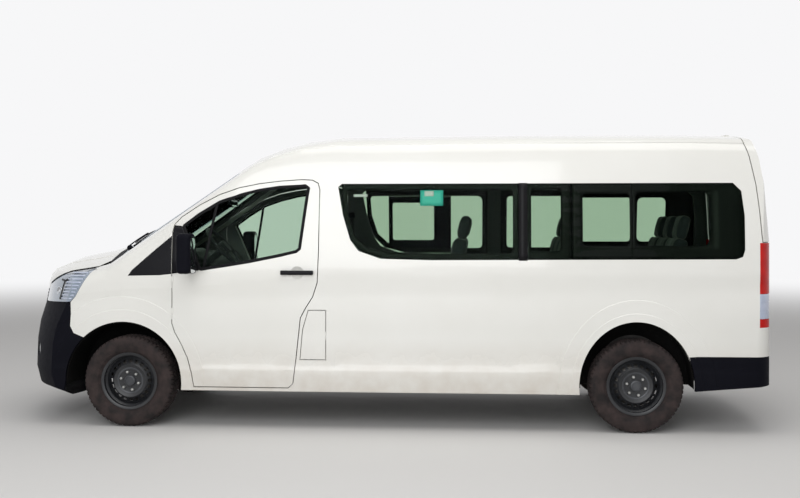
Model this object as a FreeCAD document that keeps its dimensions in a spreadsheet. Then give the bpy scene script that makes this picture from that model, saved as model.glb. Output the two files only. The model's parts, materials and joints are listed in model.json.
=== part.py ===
"""Minibus: a long passenger van with a high roof, built as separate pressed panels, glass and running gear.

Frame: +X points forward, +Y to the vehicle's left, +Z up. The origin is on the ground under the centre
of the whole vehicle. Lengths are millimetres and angles are degrees.
"""
import FreeCAD, Part, Sketcher

import math
import os
import re

doc = FreeCAD.newDocument("minibus")
V = FreeCAD.Vector

# Driving dimensions: alias and value
SIZES = [
    # whole vehicle
    ("overall_length", 5915), ("front_overhang", 1010), ("wheelbase", 3860), ("track", 1674),
    ("body_half_width", 962), ("roof_height", 2280), ("waist_height", 1000), ("sill_height", 288),
    ("skirt_bottom", 190),
    # form of the body section and of its ends
    ("side_radius_above", 3600), ("side_radius_below", 8000), ("belly_height", 650), ("sill_radius", 1500),
    ("crease_band", 44), ("crease_step", 5.7), ("rocker_height", 470), ("rocker_step", 3),
    ("flare_step", 3), ("roof_radius", 4200), ("screen_radius", 2500), ("bonnet_radius", 2350),
    ("shoulder_radius", 170), ("pillar_radius", 70), ("bonnet_edge_radius", 105), ("nose_radius", 1282),
    ("tail_radius", 9000), ("tail_corner_radius", 150), ("cowl_height", 1385), ("header_height", 2058),
    ("cowl_ahead", 183), ("header_behind", 825), ("roof_bend_behind", 1250), ("bonnet_drop", 95),
    ("nose_height", 1126), ("bonnet_setback", 15), ("relief_rear_half", 560), ("relief_front_half", 330),
    # walls
    ("side_wall", 50), ("roof_wall", 35), ("bonnet_wall", 22), ("wing_wall", 14), ("door_wall", 60),
    ("bumper_wall", 28), ("lamp_depth", 70), ("glass_wall", 5), ("glass_inset", 3), ("seat_gap", 0.3),
    ("shut_gap", 7), ("roof_seam", 790), ("flap_wall", 10),
    # openings in the side
    ("door_front_behind", 347), ("door_length", 1130), ("door_sill", 318), ("door_top", 1896),
    ("window_sill", 1289), ("window_top", 1866), ("band_front_behind", 1620), ("band_split_behind", 3018),
    ("band_pillar", 60), ("band_tail", 262), ("slider_front_behind", 1540), ("slider_length", 1290),
    ("flap_behind", 1530), ("flap_length", 190), ("flap_bottom", 536), ("flap_top", 904),
    ("front_arch_half", 458), ("front_arch_rise", 460), ("front_arch_ahead", 42), ("rear_arch_half", 425),
    ("rear_arch_rise", 484), ("arch_centre_height", 350), ("flare_reach", 152), ("lip_reach", 62),
    ("rail_groove_height", 1196), ("rail_groove_width", 26), ("rail_groove_depth", 14),
    ("gutter_width", 14), ("gutter_depth", 6),
    # door pulls
    ("pull_height", 1192), ("pull_length", 250), ("pull_width", 34), ("pull_wall", 16), ("pull_stand", 16),
    ("pull_behind_hinge", 968), ("slider_pull_behind", 200), ("cup_radius", 90), ("cup_depth", 14),
    # lamps, bumpers and tailgate
    ("lamp_inner", 560), ("grille_bottom", 945), ("grille_top", 1030), ("grille_bar", 9),
    ("grille_bars", 3), ("tail_lamp_bottom", 796), ("tail_lamp_top", 1421), ("tail_lamp_inner", 800),
    ("tail_lamp_reach", 155), ("lamp_line", 4), ("lamp_line_pitch", 62), ("lamp_line_count", 4),
    ("rear_bumper_top", 580), ("rear_bumper_bottom", 335), ("gate_bottom", 590),
    ("gate_glass_bottom", 1330), ("gate_glass_top", 1960), ("gate_glass_half_width", 690),
    ("gate_hinge_ahead", 249), ("gate_hinge_height", 2268), ("gate_pull_height", 905),
    ("gate_pull_length", 260), ("gate_pull_width", 46), ("gate_pull_depth", 22), ("intake_half_width", 430),
    ("intake_bottom", 585), ("intake_top", 800), ("intake_bar", 14), ("intake_rows", 5),
    ("intake_columns", 4), ("air_slot_half_width", 470), ("air_slot_bottom", 300), ("air_slot_top", 385),
    ("fog_offset", 640), ("fog_radius", 58), ("fog_height", 560), ("fog_depth", 16),
    # wheels
    ("tyre_radius", 350), ("tyre_width", 235), ("tyre_sides", 48), ("rim_radius", 220),
    ("bead_radius", 203), ("rim_width", 180), ("well_radius", 188), ("hub_offset", 52), ("hub_bore", 42),
    ("disc_wall", 9), ("vent_count", 20), ("vent_circle", 150), ("vent_width", 28), ("vent_height", 24),
    ("nut_circle", 70), ("kingpin_inset", 60), ("upright_half", 115), ("upright_length", 70),
    ("upright_wall", 52), ("hub_radius", 62), ("lever_length", 130), ("brake_radius", 140),
    ("post_length", 70), ("post_wall", 36), ("rail_inner", 380), ("arm_radius", 22), ("arm_wall", 36),
    ("beam_bottom", 190), ("beam_length", 120), ("beam_height", 140),
    # floor and running gear
    ("floor_height", 520), ("floor_wall", 45), ("rail_width", 80), ("rail_setback", 200),
    ("rail_height", 90), ("tub_inner", 676), ("bulkhead_behind", 345), ("apron_half", 480),
    ("apron_wall", 20), ("apron_bottom", 330), ("apron_height", 620), ("radiator_bottom", 370),
    ("radiator_height", 540), ("bay_behind_nose", 250), ("shelf_height", 1130), ("tub_wall", 14),
    ("axle_radius", 42), ("spring_half_track", 560), ("spring_width", 70), ("spring_leaf", 14),
    ("spring_reach", 700), ("spring_drop", 150), ("engine_length", 520), ("engine_width", 560),
    ("engine_height", 450), ("engine_bottom", 470), ("tank_length", 760), ("tank_width", 300),
    ("tank_depth", 205), ("tank_behind", 2450), ("tank_offset", 62), ("tank_round", 40),
    ("pipe_radius", 28), ("pipe_offset", 240), ("pipe_height", 430), ("pipe_front_behind", 660),
    ("silencer_radius", 95), ("silencer_length", 560), ("silencer_behind", 1500), ("silencer_height", 420),
    ("pipe_rear_behind", 160), ("spare_radius", 335), ("spare_width", 190), ("spare_behind", 610),
    ("spare_bottom", 310), ("casing_radius", 132), ("casing_width", 150), ("shaft_radius", 32),
    ("shaft_height", 395), ("damper_radius", 22), ("damper_half_track", 490), ("gearbox_radius", 62),
    ("gearbox_behind", 700), ("bell_radius", 110), ("bell_length", 80), ("cross_wall", 60),
    ("cross_height", 50),
    # cabin
    ("seat_width", 480), ("seat_depth", 470), ("cushion_wall", 110), ("back_height", 640),
    ("back_lean", 14), ("back_overlap", 20), ("seat_round", 28), ("base_inset", 50), ("restraint_wall", 90),
    ("restraint_width", 260), ("restraint_height", 195), ("seat_height", 830), ("rear_seat_height", 900),
    ("rear_seat_half_width", 640), ("first_row_behind", 420), ("row_pitch", 850), ("row_count", 3),
    ("driver_offset", 470), ("front_seat_behind", 730), ("bench_low_y", -730), ("bench_width", 830),
    ("wheel_rim_radius", 192), ("wheel_rim_grip", 14), ("column_behind", 640), ("column_height", 1370),
    ("column_tilt", 42), ("dash_top", 1318), ("dash_half_width", 845), ("dash_behind", 500),
    ("binnacle_radius", 90), ("binnacle_width", 380),
    # mirrors
    ("mirror_height", 300), ("mirror_width", 190), ("mirror_depth", 110), ("mirror_behind", 560),
    ("mirror_stand", 70), ("mirror_bottom", 1190), ("mirror_round", 35), ("arm_depth", 60),
    ("arm_height", 70),
    # interfaces
    ("plate_hole_spacing", 280), ("plate_hole_radius", 3), ("plate_height", 760),
]
# Places worked out from them
PLACES = [
    ("nose_x", "overall_length / 2"),
    ("tail_x", "-overall_length / 2"),
    ("front_axle_x", "overall_length / 2 - front_overhang"),
    ("rear_axle_x", "front_axle_x - wheelbase"),
    ("cowl_x", "front_axle_x + cowl_ahead"),
    ("header_x", "front_axle_x - header_behind"),
    ("door_front_x", "front_axle_x - door_front_behind"),
    ("door_rear_x", "door_front_x - door_length"),
    ("door_hinge_x", "door_front_x + shut_gap / 2"),
    ("bulkhead_x", "front_axle_x - bulkhead_behind"),
    ("wheel_half_track", "track / 2"),
    ("kingpin_y", "track / 2 - kingpin_inset"),
    ("wheel_centre_z", "tyre_radius"),
    ("floor_top", "floor_height + floor_wall"),
    ("gate_hinge_x", "tail_x + gate_hinge_ahead"),
    ("side_hinge_y", "body_half_width - 15"),
    ("flap_x", "front_axle_x - flap_behind"),
    ("column_x", "front_axle_x - column_behind"),
]

sheet = doc.addObject("Spreadsheet::Sheet", "Sizes")
for row, (alias, value) in enumerate(SIZES, 1):
    sheet.set("A%d" % row, alias)
    sheet.set("B%d" % row, str(value))
    sheet.setAlias("B%d" % row, alias)
doc.recompute()
places = doc.addObject("App::VarSet", "Places")
WORDS = {alias: "Sizes." + alias for alias, value in SIZES}
WORDS.update({name: "Places." + name for name, text in PLACES})


def cells(text):
    """Write a formula of size and place names as a document expression."""
    return re.sub(r"[a-z_]{3,}", lambda word: WORDS.get(word.group(0), word.group(0)), text)


for name, text in PLACES:
    places.addProperty("App::PropertyFloat", name)
    places.setExpression(name, cells(text))
doc.recompute()


scratch = doc.addObject("App::VarSet", "Scratch")
scratch.addProperty("App::PropertyFloat", "result")


def number(text):
    """The present value of a formula of size and place names."""
    scratch.setExpression("result", cells(text))
    scratch.recompute()
    return float(scratch.result)


class Named:
    """Every size and place by its name, as numbers for the shaped panels."""


n = Named()
for alias, value in SIZES:
    setattr(n, alias, float(sheet.get(alias)))
for name, text in PLACES:
    setattr(n, name, float(getattr(places, name)))


# Document objects bound to the sheet
def bind(obj, **formulas):
    """Tie properties of an object to formulas; x, y and z are its place."""
    for prop, text in formulas.items():
        path = "Placement.Base." + prop if prop in "xyz" else prop
        obj.setExpression(path, cells(str(text)))
    return obj


def box(name, size, corner):
    """A block from its three sizes and its lowest corner, all formulas."""
    obj = doc.addObject("Part::Box", name)
    return bind(obj, Length=size[0], Width=size[1], Height=size[2], x=corner[0], y=corner[1], z=corner[2])


TURNS = {"x": FreeCAD.Rotation(V(0, 1, 0), 90), "y": FreeCAD.Rotation(V(1, 0, 0), -90),
         "z": FreeCAD.Rotation()}


def rod(name, radius, length, start, along="z"):
    """A round bar from its start, pointing along an axis."""
    obj = doc.addObject("Part::Cylinder", name)
    obj.Placement = FreeCAD.Placement(V(), TURNS[along])
    return bind(obj, Radius=radius, Height=length, x=start[0], y=start[1], z=start[2])


def fuse(name, *members):
    """One solid of several that overlap."""
    obj = doc.addObject("Part::MultiFuse", name)
    obj.Shapes = list(members)
    obj.Refine = False
    return obj


def cut(name, base, tool):
    """The base with the tool taken away."""
    obj = doc.addObject("Part::Cut", name)
    obj.Base, obj.Tool, obj.Refine = base, tool, False
    return obj


def mirrored(name, source):
    """The same piece on the vehicle's other side."""
    obj = doc.addObject("Part::Mirroring", name)
    obj.Source, obj.Normal = source, V(0, 1, 0)
    return obj


def shaped(name, shape):
    """A pressed or curved piece whose shape no primitive gives."""
    obj = doc.addObject("Part::Feature", name)
    obj.Shape = shape
    obj.Placement = FreeCAD.Placement()
    return obj


# Body form. A section across the vehicle goes up from the skirt: the sill's arc, the rocker's small step,
# the belly's arc, the band of the waist crease, the upper side that leans in, the shoulder and the roof's
# crown. The nose and the tail then trim the sections to length.
def circle_point(centre, radius, toward):
    """Where a circle meets the way from its centre toward a point."""
    reach = math.dist(centre, toward)
    return tuple(c + (q - c) * radius / reach for c, q in zip(centre, toward))


def at_height(centre, radius, height):
    """The outer point of a circle at a height."""
    return centre[0] + math.sqrt(radius ** 2 - (height - centre[1]) ** 2), height


def section_edge(x, points):
    """An arc through three points of a section, or a line through two."""
    places = [V(x, *point) for point in points]
    return Part.Arc(*places).toShape() if len(places) == 3 else Part.makeLine(*places)


def body_section(x, crown, crown_radius, corner_radius, half_width, waist_rise, inset):
    """Closed wire at x, with every radius and height drawn in by the inset."""
    half, top, corner = half_width - inset, crown - inset, max(corner_radius - inset, 8.0)
    waist = n.waist_height + waist_rise
    belly = (half - n.side_radius_below, n.belly_height)
    crease_low = at_height(belly, n.side_radius_below, waist - n.crease_band / 2)
    crease_high = (crease_low[0] + n.crease_step, waist + n.crease_band / 2)
    rocker_high = at_height(belly, n.side_radius_below, n.rocker_height)
    rocker_low = (rocker_high[0] + n.rocker_step, n.rocker_height - 3 * n.rocker_step)
    sill = (rocker_low[0] - n.sill_radius, rocker_low[1])
    skirt = at_height(sill, n.sill_radius, n.skirt_bottom)
    upper = (crease_high[0] - n.side_radius_above, crease_high[1])
    roof = (0.0, top - crown_radius)
    side_reach, roof_reach = n.side_radius_above - corner, crown_radius - corner
    dy, dz = roof[0] - upper[0], roof[1] - upper[1]
    apart = math.hypot(dy, dz)
    along = (side_reach ** 2 - roof_reach ** 2 + apart ** 2) / (2 * apart)
    aside = math.sqrt(side_reach ** 2 - along ** 2)
    shoulder = (upper[0] + (dy * along - dz * aside) / apart, upper[1] + (dz * along + dy * aside) / apart)
    other = (upper[0] + (dy * along + dz * aside) / apart, upper[1] + (dz * along - dy * aside) / apart)
    shoulder = max(shoulder, other)
    side_end = circle_point(upper, n.side_radius_above, shoulder)
    roof_end = circle_point(roof, crown_radius, shoulder)

    def bowed(centre, radius, start, end):
        """Start, middle and end of an arc."""
        return start, circle_point(centre, radius, tuple((a + b) / 2 for a, b in zip(start, end))), end

    side = [bowed(sill, n.sill_radius, skirt, rocker_low), (rocker_low, rocker_high),
            bowed(belly, n.side_radius_below, rocker_high, crease_low), (crease_low, crease_high),
            bowed(upper, n.side_radius_above, crease_high, side_end),
            bowed(shoulder, corner, side_end, roof_end)]
    left = [section_edge(x, points) for points in side]
    right = [section_edge(x, [(-y, z) for y, z in reversed(points)]) for points in reversed(side)]
    crown_arc = section_edge(x, [roof_end, (0, top), (-roof_end[0], roof_end[1])])
    base = section_edge(x, [(-skirt[0], skirt[1]), skirt])
    return Part.Wire(left + [crown_arc] + right + [base])


def loft_through_sections(inset):
    """The body's tube before its ends are trimmed."""
    half, roof = n.body_half_width, n.roof_height
    bend_x = n.front_axle_x - n.roof_bend_behind
    # x, crown height, crown radius, corner radius, half width, rise of the waist crease
    stations = [
        (n.tail_x - 110, roof - 22, n.roof_radius, n.shoulder_radius, half - 5, 133),
        (n.rear_axle_x - 400, roof - 5, n.roof_radius, n.shoulder_radius, half, 127),
        (n.rear_axle_x + 900, roof, n.roof_radius, n.shoulder_radius, half, 118),
        (bend_x - 350, roof - 13, n.roof_radius, n.shoulder_radius - 8, half, 99),
        (bend_x - 80, roof - 42, 3600, n.shoulder_radius - 25, half, 94),
        (bend_x + 130, roof - 91, 3100, n.shoulder_radius - 55, half - 2, 88),
        (bend_x + 300, roof - 152, 2800, n.pillar_radius + 28, half - 5, 83),
        (n.header_x, n.header_height, n.screen_radius + 50, n.pillar_radius, half - 8, 78),
        (n.cowl_x - 140, n.cowl_height + 93, n.screen_radius, n.pillar_radius + 12, half - 21, 33),
        (n.cowl_x, n.cowl_height, n.screen_radius - 40, n.bonnet_edge_radius - 10, half - 24, 16),
        (n.cowl_x + 200, n.cowl_height - n.bonnet_drop / 2, n.bonnet_radius, n.bonnet_edge_radius, half - 28,
         0),
        (n.cowl_x + 430, n.cowl_height - n.bonnet_drop, n.bonnet_radius, n.bonnet_edge_radius, half - 33,
         -18),
        (n.cowl_x + 600, n.cowl_height - n.bonnet_drop - 70, n.bonnet_radius, n.bonnet_edge_radius, half - 38,
         -30),
        (n.nose_x + 60, n.nose_height - 170, n.bonnet_radius, n.bonnet_edge_radius, half - 48, -250),
    ]
    return Part.makeLoft([body_section(*station, inset) for station in stations], True, True)


def nose_trim(inset):
    """A turned solid about an upright axis: the nose's side view carried round its plan curve."""
    # height, how far the nose lies behind the foremost point
    profile = [(n.skirt_bottom - 5, 400), (n.skirt_bottom + 17, 212), (n.skirt_bottom + 70, 96),
               (n.sill_height + 5, 28), (n.sill_height + 127, 0), (n.sill_height + 350, 9),
               (n.sill_height + 494, 32), (n.sill_height + 632, 75), (n.nose_height - 40, 106),
               (n.nose_height + 25, 128), (n.nose_height + 60, 160), (n.roof_height + 100, 160)]
    points = [V(n.nose_radius - behind - inset, 0, height) for height, behind in profile]
    points += [V(0, 0, profile[-1][0]), V(0, 0, profile[0][0])]
    turned = Part.Face(Part.makePolygon(points + points[:1])).revolve(V(), V(0, 0, 1), 130)
    turned.rotate(V(), V(0, 0, 1), -65)
    turned.translate(V(n.nose_x - n.nose_radius, 0, 0))
    half = n.body_half_width + 60
    behind = Part.makeBox(n.overall_length, 2 * half, n.roof_height + 200,
                          V(n.nose_x - n.nose_radius + half / 2 - n.overall_length, -half,
                            n.skirt_bottom - 5))
    return turned.fuse(behind)


def tail_trim(inset):
    """Plan outlines with rounded rear corners, one above another, joined by flat-sided walls."""
    # height, how far the tail lies ahead of the rearmost point
    profile = [(n.skirt_bottom - 10, 0), (n.waist_height, 4), (n.tail_lamp_top, 8),
               (n.tail_lamp_top + 440, 50), (n.tail_lamp_top + 640, 92), (n.tail_lamp_top + 765, 134),
               (n.roof_height - 42, 188), (n.roof_height + 20, 300)]
    half = n.body_half_width + 30 - inset
    corner = n.tail_corner_radius - inset
    front_x = n.nose_x + 200
    sections = []
    for height, ahead in profile:
        rear = n.tail_x + ahead + inset
        narrow = half - 30
        bow = narrow ** 2 / (2 * n.tail_radius)
        lean = corner * math.sqrt(0.5)
        ring = [
            Part.makeLine(V(front_x, narrow, height), V(rear + bow + corner, narrow, height)),
            Part.Arc(V(rear + bow + corner, narrow, height),
                     V(rear + bow + corner - lean, narrow - corner + lean, height),
                     V(rear + bow, narrow - corner, height)).toShape(),
            Part.Arc(V(rear + bow, narrow - corner, height), V(rear, 0, height),
                     V(rear + bow, corner - narrow, height)).toShape(),
            Part.Arc(V(rear + bow, corner - narrow, height),
                     V(rear + bow + corner - lean, corner - narrow - lean, height),
                     V(rear + bow + corner, -narrow, height)).toShape(),
            Part.makeLine(V(rear + bow + corner, -narrow, height), V(front_x, -narrow, height)),
            Part.makeLine(V(front_x, -narrow, height), V(front_x, narrow, height)),
        ]
        sections.append(Part.Wire(ring))
    return Part.makeLoft(sections, True, True)


FAR = n.body_half_width + 200
ax, rx = n.front_axle_x, n.rear_axle_x
arch_x = ax + n.front_arch_ahead
ARCHES = {"front": (arch_x, n.front_arch_half, n.front_arch_rise),
          "rear": (rx, n.rear_arch_half, n.rear_arch_rise)}


def arch_wire(end, grow, y):
    """The ellipse of a wheel arch in side view, larger by a margin."""
    x, half_length, rise = ARCHES[end]
    centre = V(x, y, n.arch_centre_height)
    return Part.Wire(Part.Ellipse(centre + V(0, 0, rise + grow), centre + V(half_length + grow, 0, 0),
                                  centre).toShape())


def arch_block(end, low, high, grow=0.0):
    """A wheel arch's ellipse carried across the vehicle from one Y to another."""
    return Part.Face(arch_wire(end, grow, low)).extrude(V(0, high - low, 0))


def flares():
    """Two shallow steps round each wheel arch, whose edges slant towards the opening."""
    slab, slant = 40, 1.5
    steps = []
    for end in ARCHES:
        for count, reach in enumerate((n.flare_reach, n.lip_reach), 1):
            wires = [arch_wire(end, reach - way * slab * slant,
                               n.body_half_width + way * slab) for way in (-1, 1)]
            steps.append(envelope(-count * n.flare_step).common(Part.makeLoft(wires, True, True)))
    return [step for left in steps for step in (left, left.mirror(V(), V(0, 1, 0)))]


def bonnet_relief():
    """The bonnet's middle, one step prouder than its sides and narrower towards the nose."""
    low, rear_x, front_x = n.grille_top + 20, n.cowl_x + n.bonnet_setback, n.nose_x + 100
    rear, front = n.relief_rear_half, n.relief_front_half
    plan = [V(rear_x, -rear, low), V(front_x, -front, low), V(front_x, front, low), V(rear_x, rear, low)]
    prism = Part.Face(Part.makePolygon(plan + plan[:1])).extrude(V(0, 0, n.roof_height))
    return [envelope(-n.flare_step).common(prism)]


envelopes = {}


def envelope(inset):
    """The body's outer form drawn in by the inset, worked out once for each depth."""
    if inset not in envelopes:
        form = loft_through_sections(inset).common(nose_trim(inset)).common(tail_trim(inset))
        envelopes[inset] = form if inset else form.fuse(flares() + bonnet_relief())
    return envelopes[inset]


def skin(zone, thickness, depth=0.0):
    """The part of the body's wall that lies in a zone, from one depth below the surface to another."""
    return envelope(depth).common(zone).cut(envelope(depth + thickness))


def side_prism(points, low=0.0, high=None, grow=0.0):
    """An outline drawn in side view, carried across the vehicle from one Y to another."""
    high = n.body_half_width + 200 if high is None else high
    ring = Part.makePolygon([V(x, low, z) for x, z in points] + [V(points[0][0], low, points[0][1])])
    face = Part.Face(ring)
    if grow:
        face = Part.Face(ring.makeOffset2D(grow, 2))
    return face.extrude(V(0, high - low, 0))


def front_prism(points, low, high):
    """An outline drawn in front view, carried along the vehicle."""
    ring = Part.makePolygon([V(low, y, z) for y, z in points] + [V(low, *points[0])])
    return Part.Face(ring).extrude(V(high - low, 0, 0))


def flip(shape):
    """The shape on the other side of the vehicle's middle plane."""
    return shape.mirror(V(), V(0, 1, 0))


def both(shape):
    """A left-hand piece and its right-hand twin."""
    return Part.makeCompound(shape.Solids + flip(shape).Solids)


dfx, drx = n.door_front_x, n.door_rear_x

# Outlines in side view, x and z
door_outline = [
    (drx, 1819), (drx + 3, 1364), (drx + 12, 1120), (drx + 48, 1009), (drx + 101, 926), (drx + 141, 850),
    (drx + 176, 530), (drx + 200, n.door_sill + 30), (drx + 235, n.door_sill),
    (dfx - 168, n.door_sill), (dfx - 152, 420), (dfx - 120, 540), (dfx - 72, 645), (dfx - 22, 735),
    (dfx, 800), (dfx, 1500), (dfx - 12, 1555), (dfx - 62, 1612), (dfx - 200, 1703), (dfx - 357, 1783),
    (dfx - 512, 1836), (dfx - 668, 1866), (dfx - 822, 1885), (drx + 140, n.door_top),
    (drx + 58, n.door_top - 4), (drx + 14, n.door_top - 28),
]
door_window = [
    (dfx - 76, 1548), (dfx - 202, 1640), (dfx - 356, 1732), (dfx - 510, 1785), (dfx - 665, 1822),
    (dfx - 820, 1845), (drx + 110, 1857), (drx + 79, 1835), (drx + 88, 1782), (drx + 116, 1560),
    (drx + 141, 1371), (drx + 170, 1348), (drx + 301, 1317), (dfx - 600, 1271), (dfx - 369, 1233),
    (dfx - 214, 1209),
]
quarter_outline = [(ax + 3, 1163), (dfx + 100, 1168), (dfx + 8, 1178), (dfx + 8, 1472), (ax - 171, 1331),
                   (ax - 29, 1207)]
wing_outline = [
    (dfx + 7, 1178), (dfx + 7, 798), (dfx - 16, 731), (dfx - 66, 641), (dfx - 113, 537), (dfx - 145, 418),
    (dfx - 161, n.sill_height), (arch_x - 300, n.sill_height), (arch_x + 300, 660), (ax + 326, 676),
    (ax + 432, 720), (ax + 460, 773), (ax + 455, 858), (ax + 458, 958), (ax + 418, 1001), (ax + 369, 1086),
    (ax + 315, 1178), (ax + 278, 1224), (n.cowl_x + 24, 1262), (n.cowl_x + 15, 1290),
    (n.cowl_x - 20, 1290), (ax + 3, 1163), (dfx + 100, 1168),
]
lamp_outline = [
    (ax + 280, 1222), (ax + 317, 1178), (ax + 371, 1086), (ax + 420, 1001), (ax + 460, 962),
    (n.nose_x - 250, n.grille_bottom), (n.nose_x + 50, n.grille_bottom), (n.nose_x + 50, n.grille_top),
    (n.nose_x - 230, n.grille_top + 4), (n.nose_x - 264, 1087), (n.nose_x - 358, 1133),
    (n.nose_x - 493, 1187), (ax + 373, 1210),
]
bonnet_side = [(n.nose_x + 60, n.grille_top + 7), (n.nose_x - 228, n.grille_top + 7), (n.nose_x - 261, 1095),
               (n.nose_x - 356, 1140), (n.nose_x - 490, 1194), (ax + 373, 1217), (ax + 280, 1231),
               (n.cowl_x + 22, 1271), (n.cowl_x + 22, 1500), (n.nose_x + 60, 1500)]
front_bumper_outline = [
    (ax + 459, 957), (ax + 456, 858), (ax + 461, 773), (ax + 433, 719), (ax + 326, 675), (arch_x + 440, 430),
    (arch_x + 500, n.skirt_bottom - 20), (n.nose_x + 80, n.skirt_bottom - 20),
    (n.nose_x + 80, n.grille_bottom - 0.3), (n.nose_x - 250, n.grille_bottom - 0.3),
]
rear_bumper_outline = [
    (rx - 380, n.rear_bumper_top - 4), (rx - 415, 450), (rx - 425, n.rear_bumper_bottom - 15),
    (n.tail_x + 60, n.rear_bumper_bottom + 30), (n.tail_x - 80, n.rear_bumper_bottom + 34),
    (n.tail_x - 80, n.rear_bumper_top), (n.tail_x + 600, n.rear_bumper_top),
]
band_front = ax - n.band_front_behind
band_rear = n.tail_x + n.band_tail
band_split = ax - n.band_split_behind
band_outline = [
    (band_front, n.window_top - 24), (band_front - 28, n.window_top), (band_rear + 78, n.window_top),
    (band_rear + 20, n.window_top - 60), (band_rear, n.window_top - 240), (band_rear, 1369),
    (band_rear + 16, 1318), (band_rear + 66, 1300), (band_front - 700, n.window_sill),
    (band_front - 330, 1298), (band_front - 160, 1357), (band_front - 98, 1440), (band_front - 40, 1629),
]
flap_front = n.flap_x + n.flap_length
flap_outline = [(n.flap_x, n.flap_bottom), (flap_front, n.flap_bottom), (flap_front - 20, 760),
                (flap_front - 62, n.flap_top), (n.flap_x, n.flap_top)]
gate_seam = [(n.gate_hinge_x + 4, n.roof_height + 40), (n.tail_x + 236, 2158), (n.tail_x + 208, 2061),
             (n.tail_x + 170, 1850), (n.tail_x + 151, 1664), (n.tail_x + 137, 1479),
             (n.tail_x + 131, n.tail_lamp_top + 8)]

# Regions that the panels share
cowl_depth = 95
screen_base_x = n.cowl_x + 15 - cowl_depth
pillar_line = [(-800, 1250), (800, 1250), (700, 2120), (-700, 2120)]
screen_zone = front_prism(pillar_line, n.header_x + 12, screen_base_x)
cowl_zone = front_prism([(-800, 1250), (800, 1250), (790, 1600), (-790, 1600)], screen_base_x, n.cowl_x + 15)
roof_zone = Part.makeBox(n.header_x + 12 - n.tail_x, 2 * n.roof_seam, 800,
                         V(n.tail_x, -n.roof_seam, n.window_top + 60))
gate_zone_upper = side_prism(gate_seam + [(n.tail_x - 200, n.tail_lamp_top + 8),
                                          (n.tail_x - 200, n.roof_height + 40)], -FAR)
gate_half = n.tail_lamp_inner - n.shut_gap
gate_lower = Part.makeBox(400, 2 * gate_half, n.tail_lamp_top + 30 - n.gate_bottom,
                          V(n.tail_x - 200, -gate_half, n.gate_bottom))
gate_opening = [
    side_prism([(x + n.shut_gap, z) for x, z in gate_seam]
               + [(n.tail_x + 131 + n.shut_gap, n.tail_lamp_top + 1), (n.tail_x - 200, n.tail_lamp_top + 1),
                  (n.tail_x - 200, n.roof_height + 40)], -FAR),
    Part.makeBox(400, 2 * n.tail_lamp_inner, n.tail_lamp_top + 30 - n.gate_bottom + n.shut_gap,
                 V(n.tail_x - 200, -n.tail_lamp_inner, n.gate_bottom - n.shut_gap)),
]
tail_lamp_zone = Part.makeBox(n.tail_lamp_reach + 60, FAR - n.tail_lamp_inner,
                              n.tail_lamp_top - n.tail_lamp_bottom,
                              V(n.tail_x - 60, n.tail_lamp_inner, n.tail_lamp_bottom))
left_half = Part.makeBox(n.overall_length + 400, FAR, 2600, V(-n.overall_length / 2 - 200, 0, 0))
wing_zone = side_prism(wing_outline, 800 + n.seat_gap)
quarter_zone = side_prism(quarter_outline, 0)
rear_arch, front_arch = arch_block("rear", 0, FAR), arch_block("front", 0, FAR)
rear_arches, front_arches = arch_block("rear", -FAR, FAR), arch_block("front", -FAR, FAR)

# Side panels: one pressing from the screen pillar to the tail, with the hinge pillar behind the wing
below_sill = Part.makeBox(n.overall_length + 400, FAR, n.sill_height, V(-n.overall_length / 2 - 200, 0, 0))
outer_layer = envelope(0).cut(envelope(n.wing_wall + n.seat_gap))
low_front = Part.makeBox(2000, FAR, 1163, V(ax - 120, 0, 0))
high_front = Part.makeBox(2000, FAR, 2000, V(n.cowl_x + 15, 0, 0))
tail_middle = Part.makeBox(300, n.tail_lamp_inner, 3000, V(n.tail_x - 100, 0, 0))
side_shell = skin(left_half, n.side_wall)
side_base = side_shell.cut(gate_opening + [
    roof_zone, screen_zone, cowl_zone, tail_lamp_zone, below_sill, low_front, high_front,
    side_prism(door_outline, 0, FAR, n.shut_gap), side_prism(rear_bumper_outline, 0), rear_arch, front_arch,
    outer_layer.common(wing_zone), outer_layer.common(quarter_zone), tail_middle,
])
side_base = max(side_base.Solids, key=lambda solid: solid.Volume)
band_hole = side_prism(band_outline, 0)
band_post = Part.makeBox(n.band_pillar, FAR, 3000, V(band_split - n.band_pillar / 2, 0, 0))
hinge_low, hinge_high, hinge_length = 830, 1070, 45
hinge_pin, hinge_wall, leaf_wall, leaf_reach = 3, 4, 12, 14


def hinge_web(low):
    """The body's half of a door hinge: an upright pin on a web from the hinge pillar."""
    depth = n.side_wall - 8
    corner = V(n.door_hinge_x - hinge_wall / 2, n.side_hinge_y - depth, low)
    pin = Part.makeCylinder(hinge_pin, hinge_length, V(n.door_hinge_x, n.side_hinge_y, low))
    web = Part.makeBox(hinge_wall, depth, hinge_length, corner)
    foot = Part.makeBox(leaf_reach + 6, leaf_wall, hinge_length, corner)
    return [pin, web, foot]


def hinge_leaf(low):
    """The door's half: a pin above the body's, on a tab from the door's edge."""
    pin = Part.makeCylinder(hinge_pin, hinge_length, V(n.door_hinge_x, n.side_hinge_y, low))
    tab = Part.makeBox(leaf_reach, leaf_wall, hinge_length,
                       V(n.door_hinge_x - leaf_reach, n.side_hinge_y - leaf_wall, low))
    return [pin, tab]


webs = [piece for low in (hinge_low, hinge_high) for piece in hinge_web(low)]
slider_front = ax - n.slider_front_behind
slider_rear = slider_front - n.slider_length


def slider_outline(grow):
    """The sliding door's rectangle in side view, larger by a seam."""
    return side_prism([(slider_rear - grow, n.door_sill - grow), (slider_front + grow, n.door_sill - grow),
                       (slider_front + grow, n.door_top + grow), (slider_rear - grow, n.door_top + grow)], 0)


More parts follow.
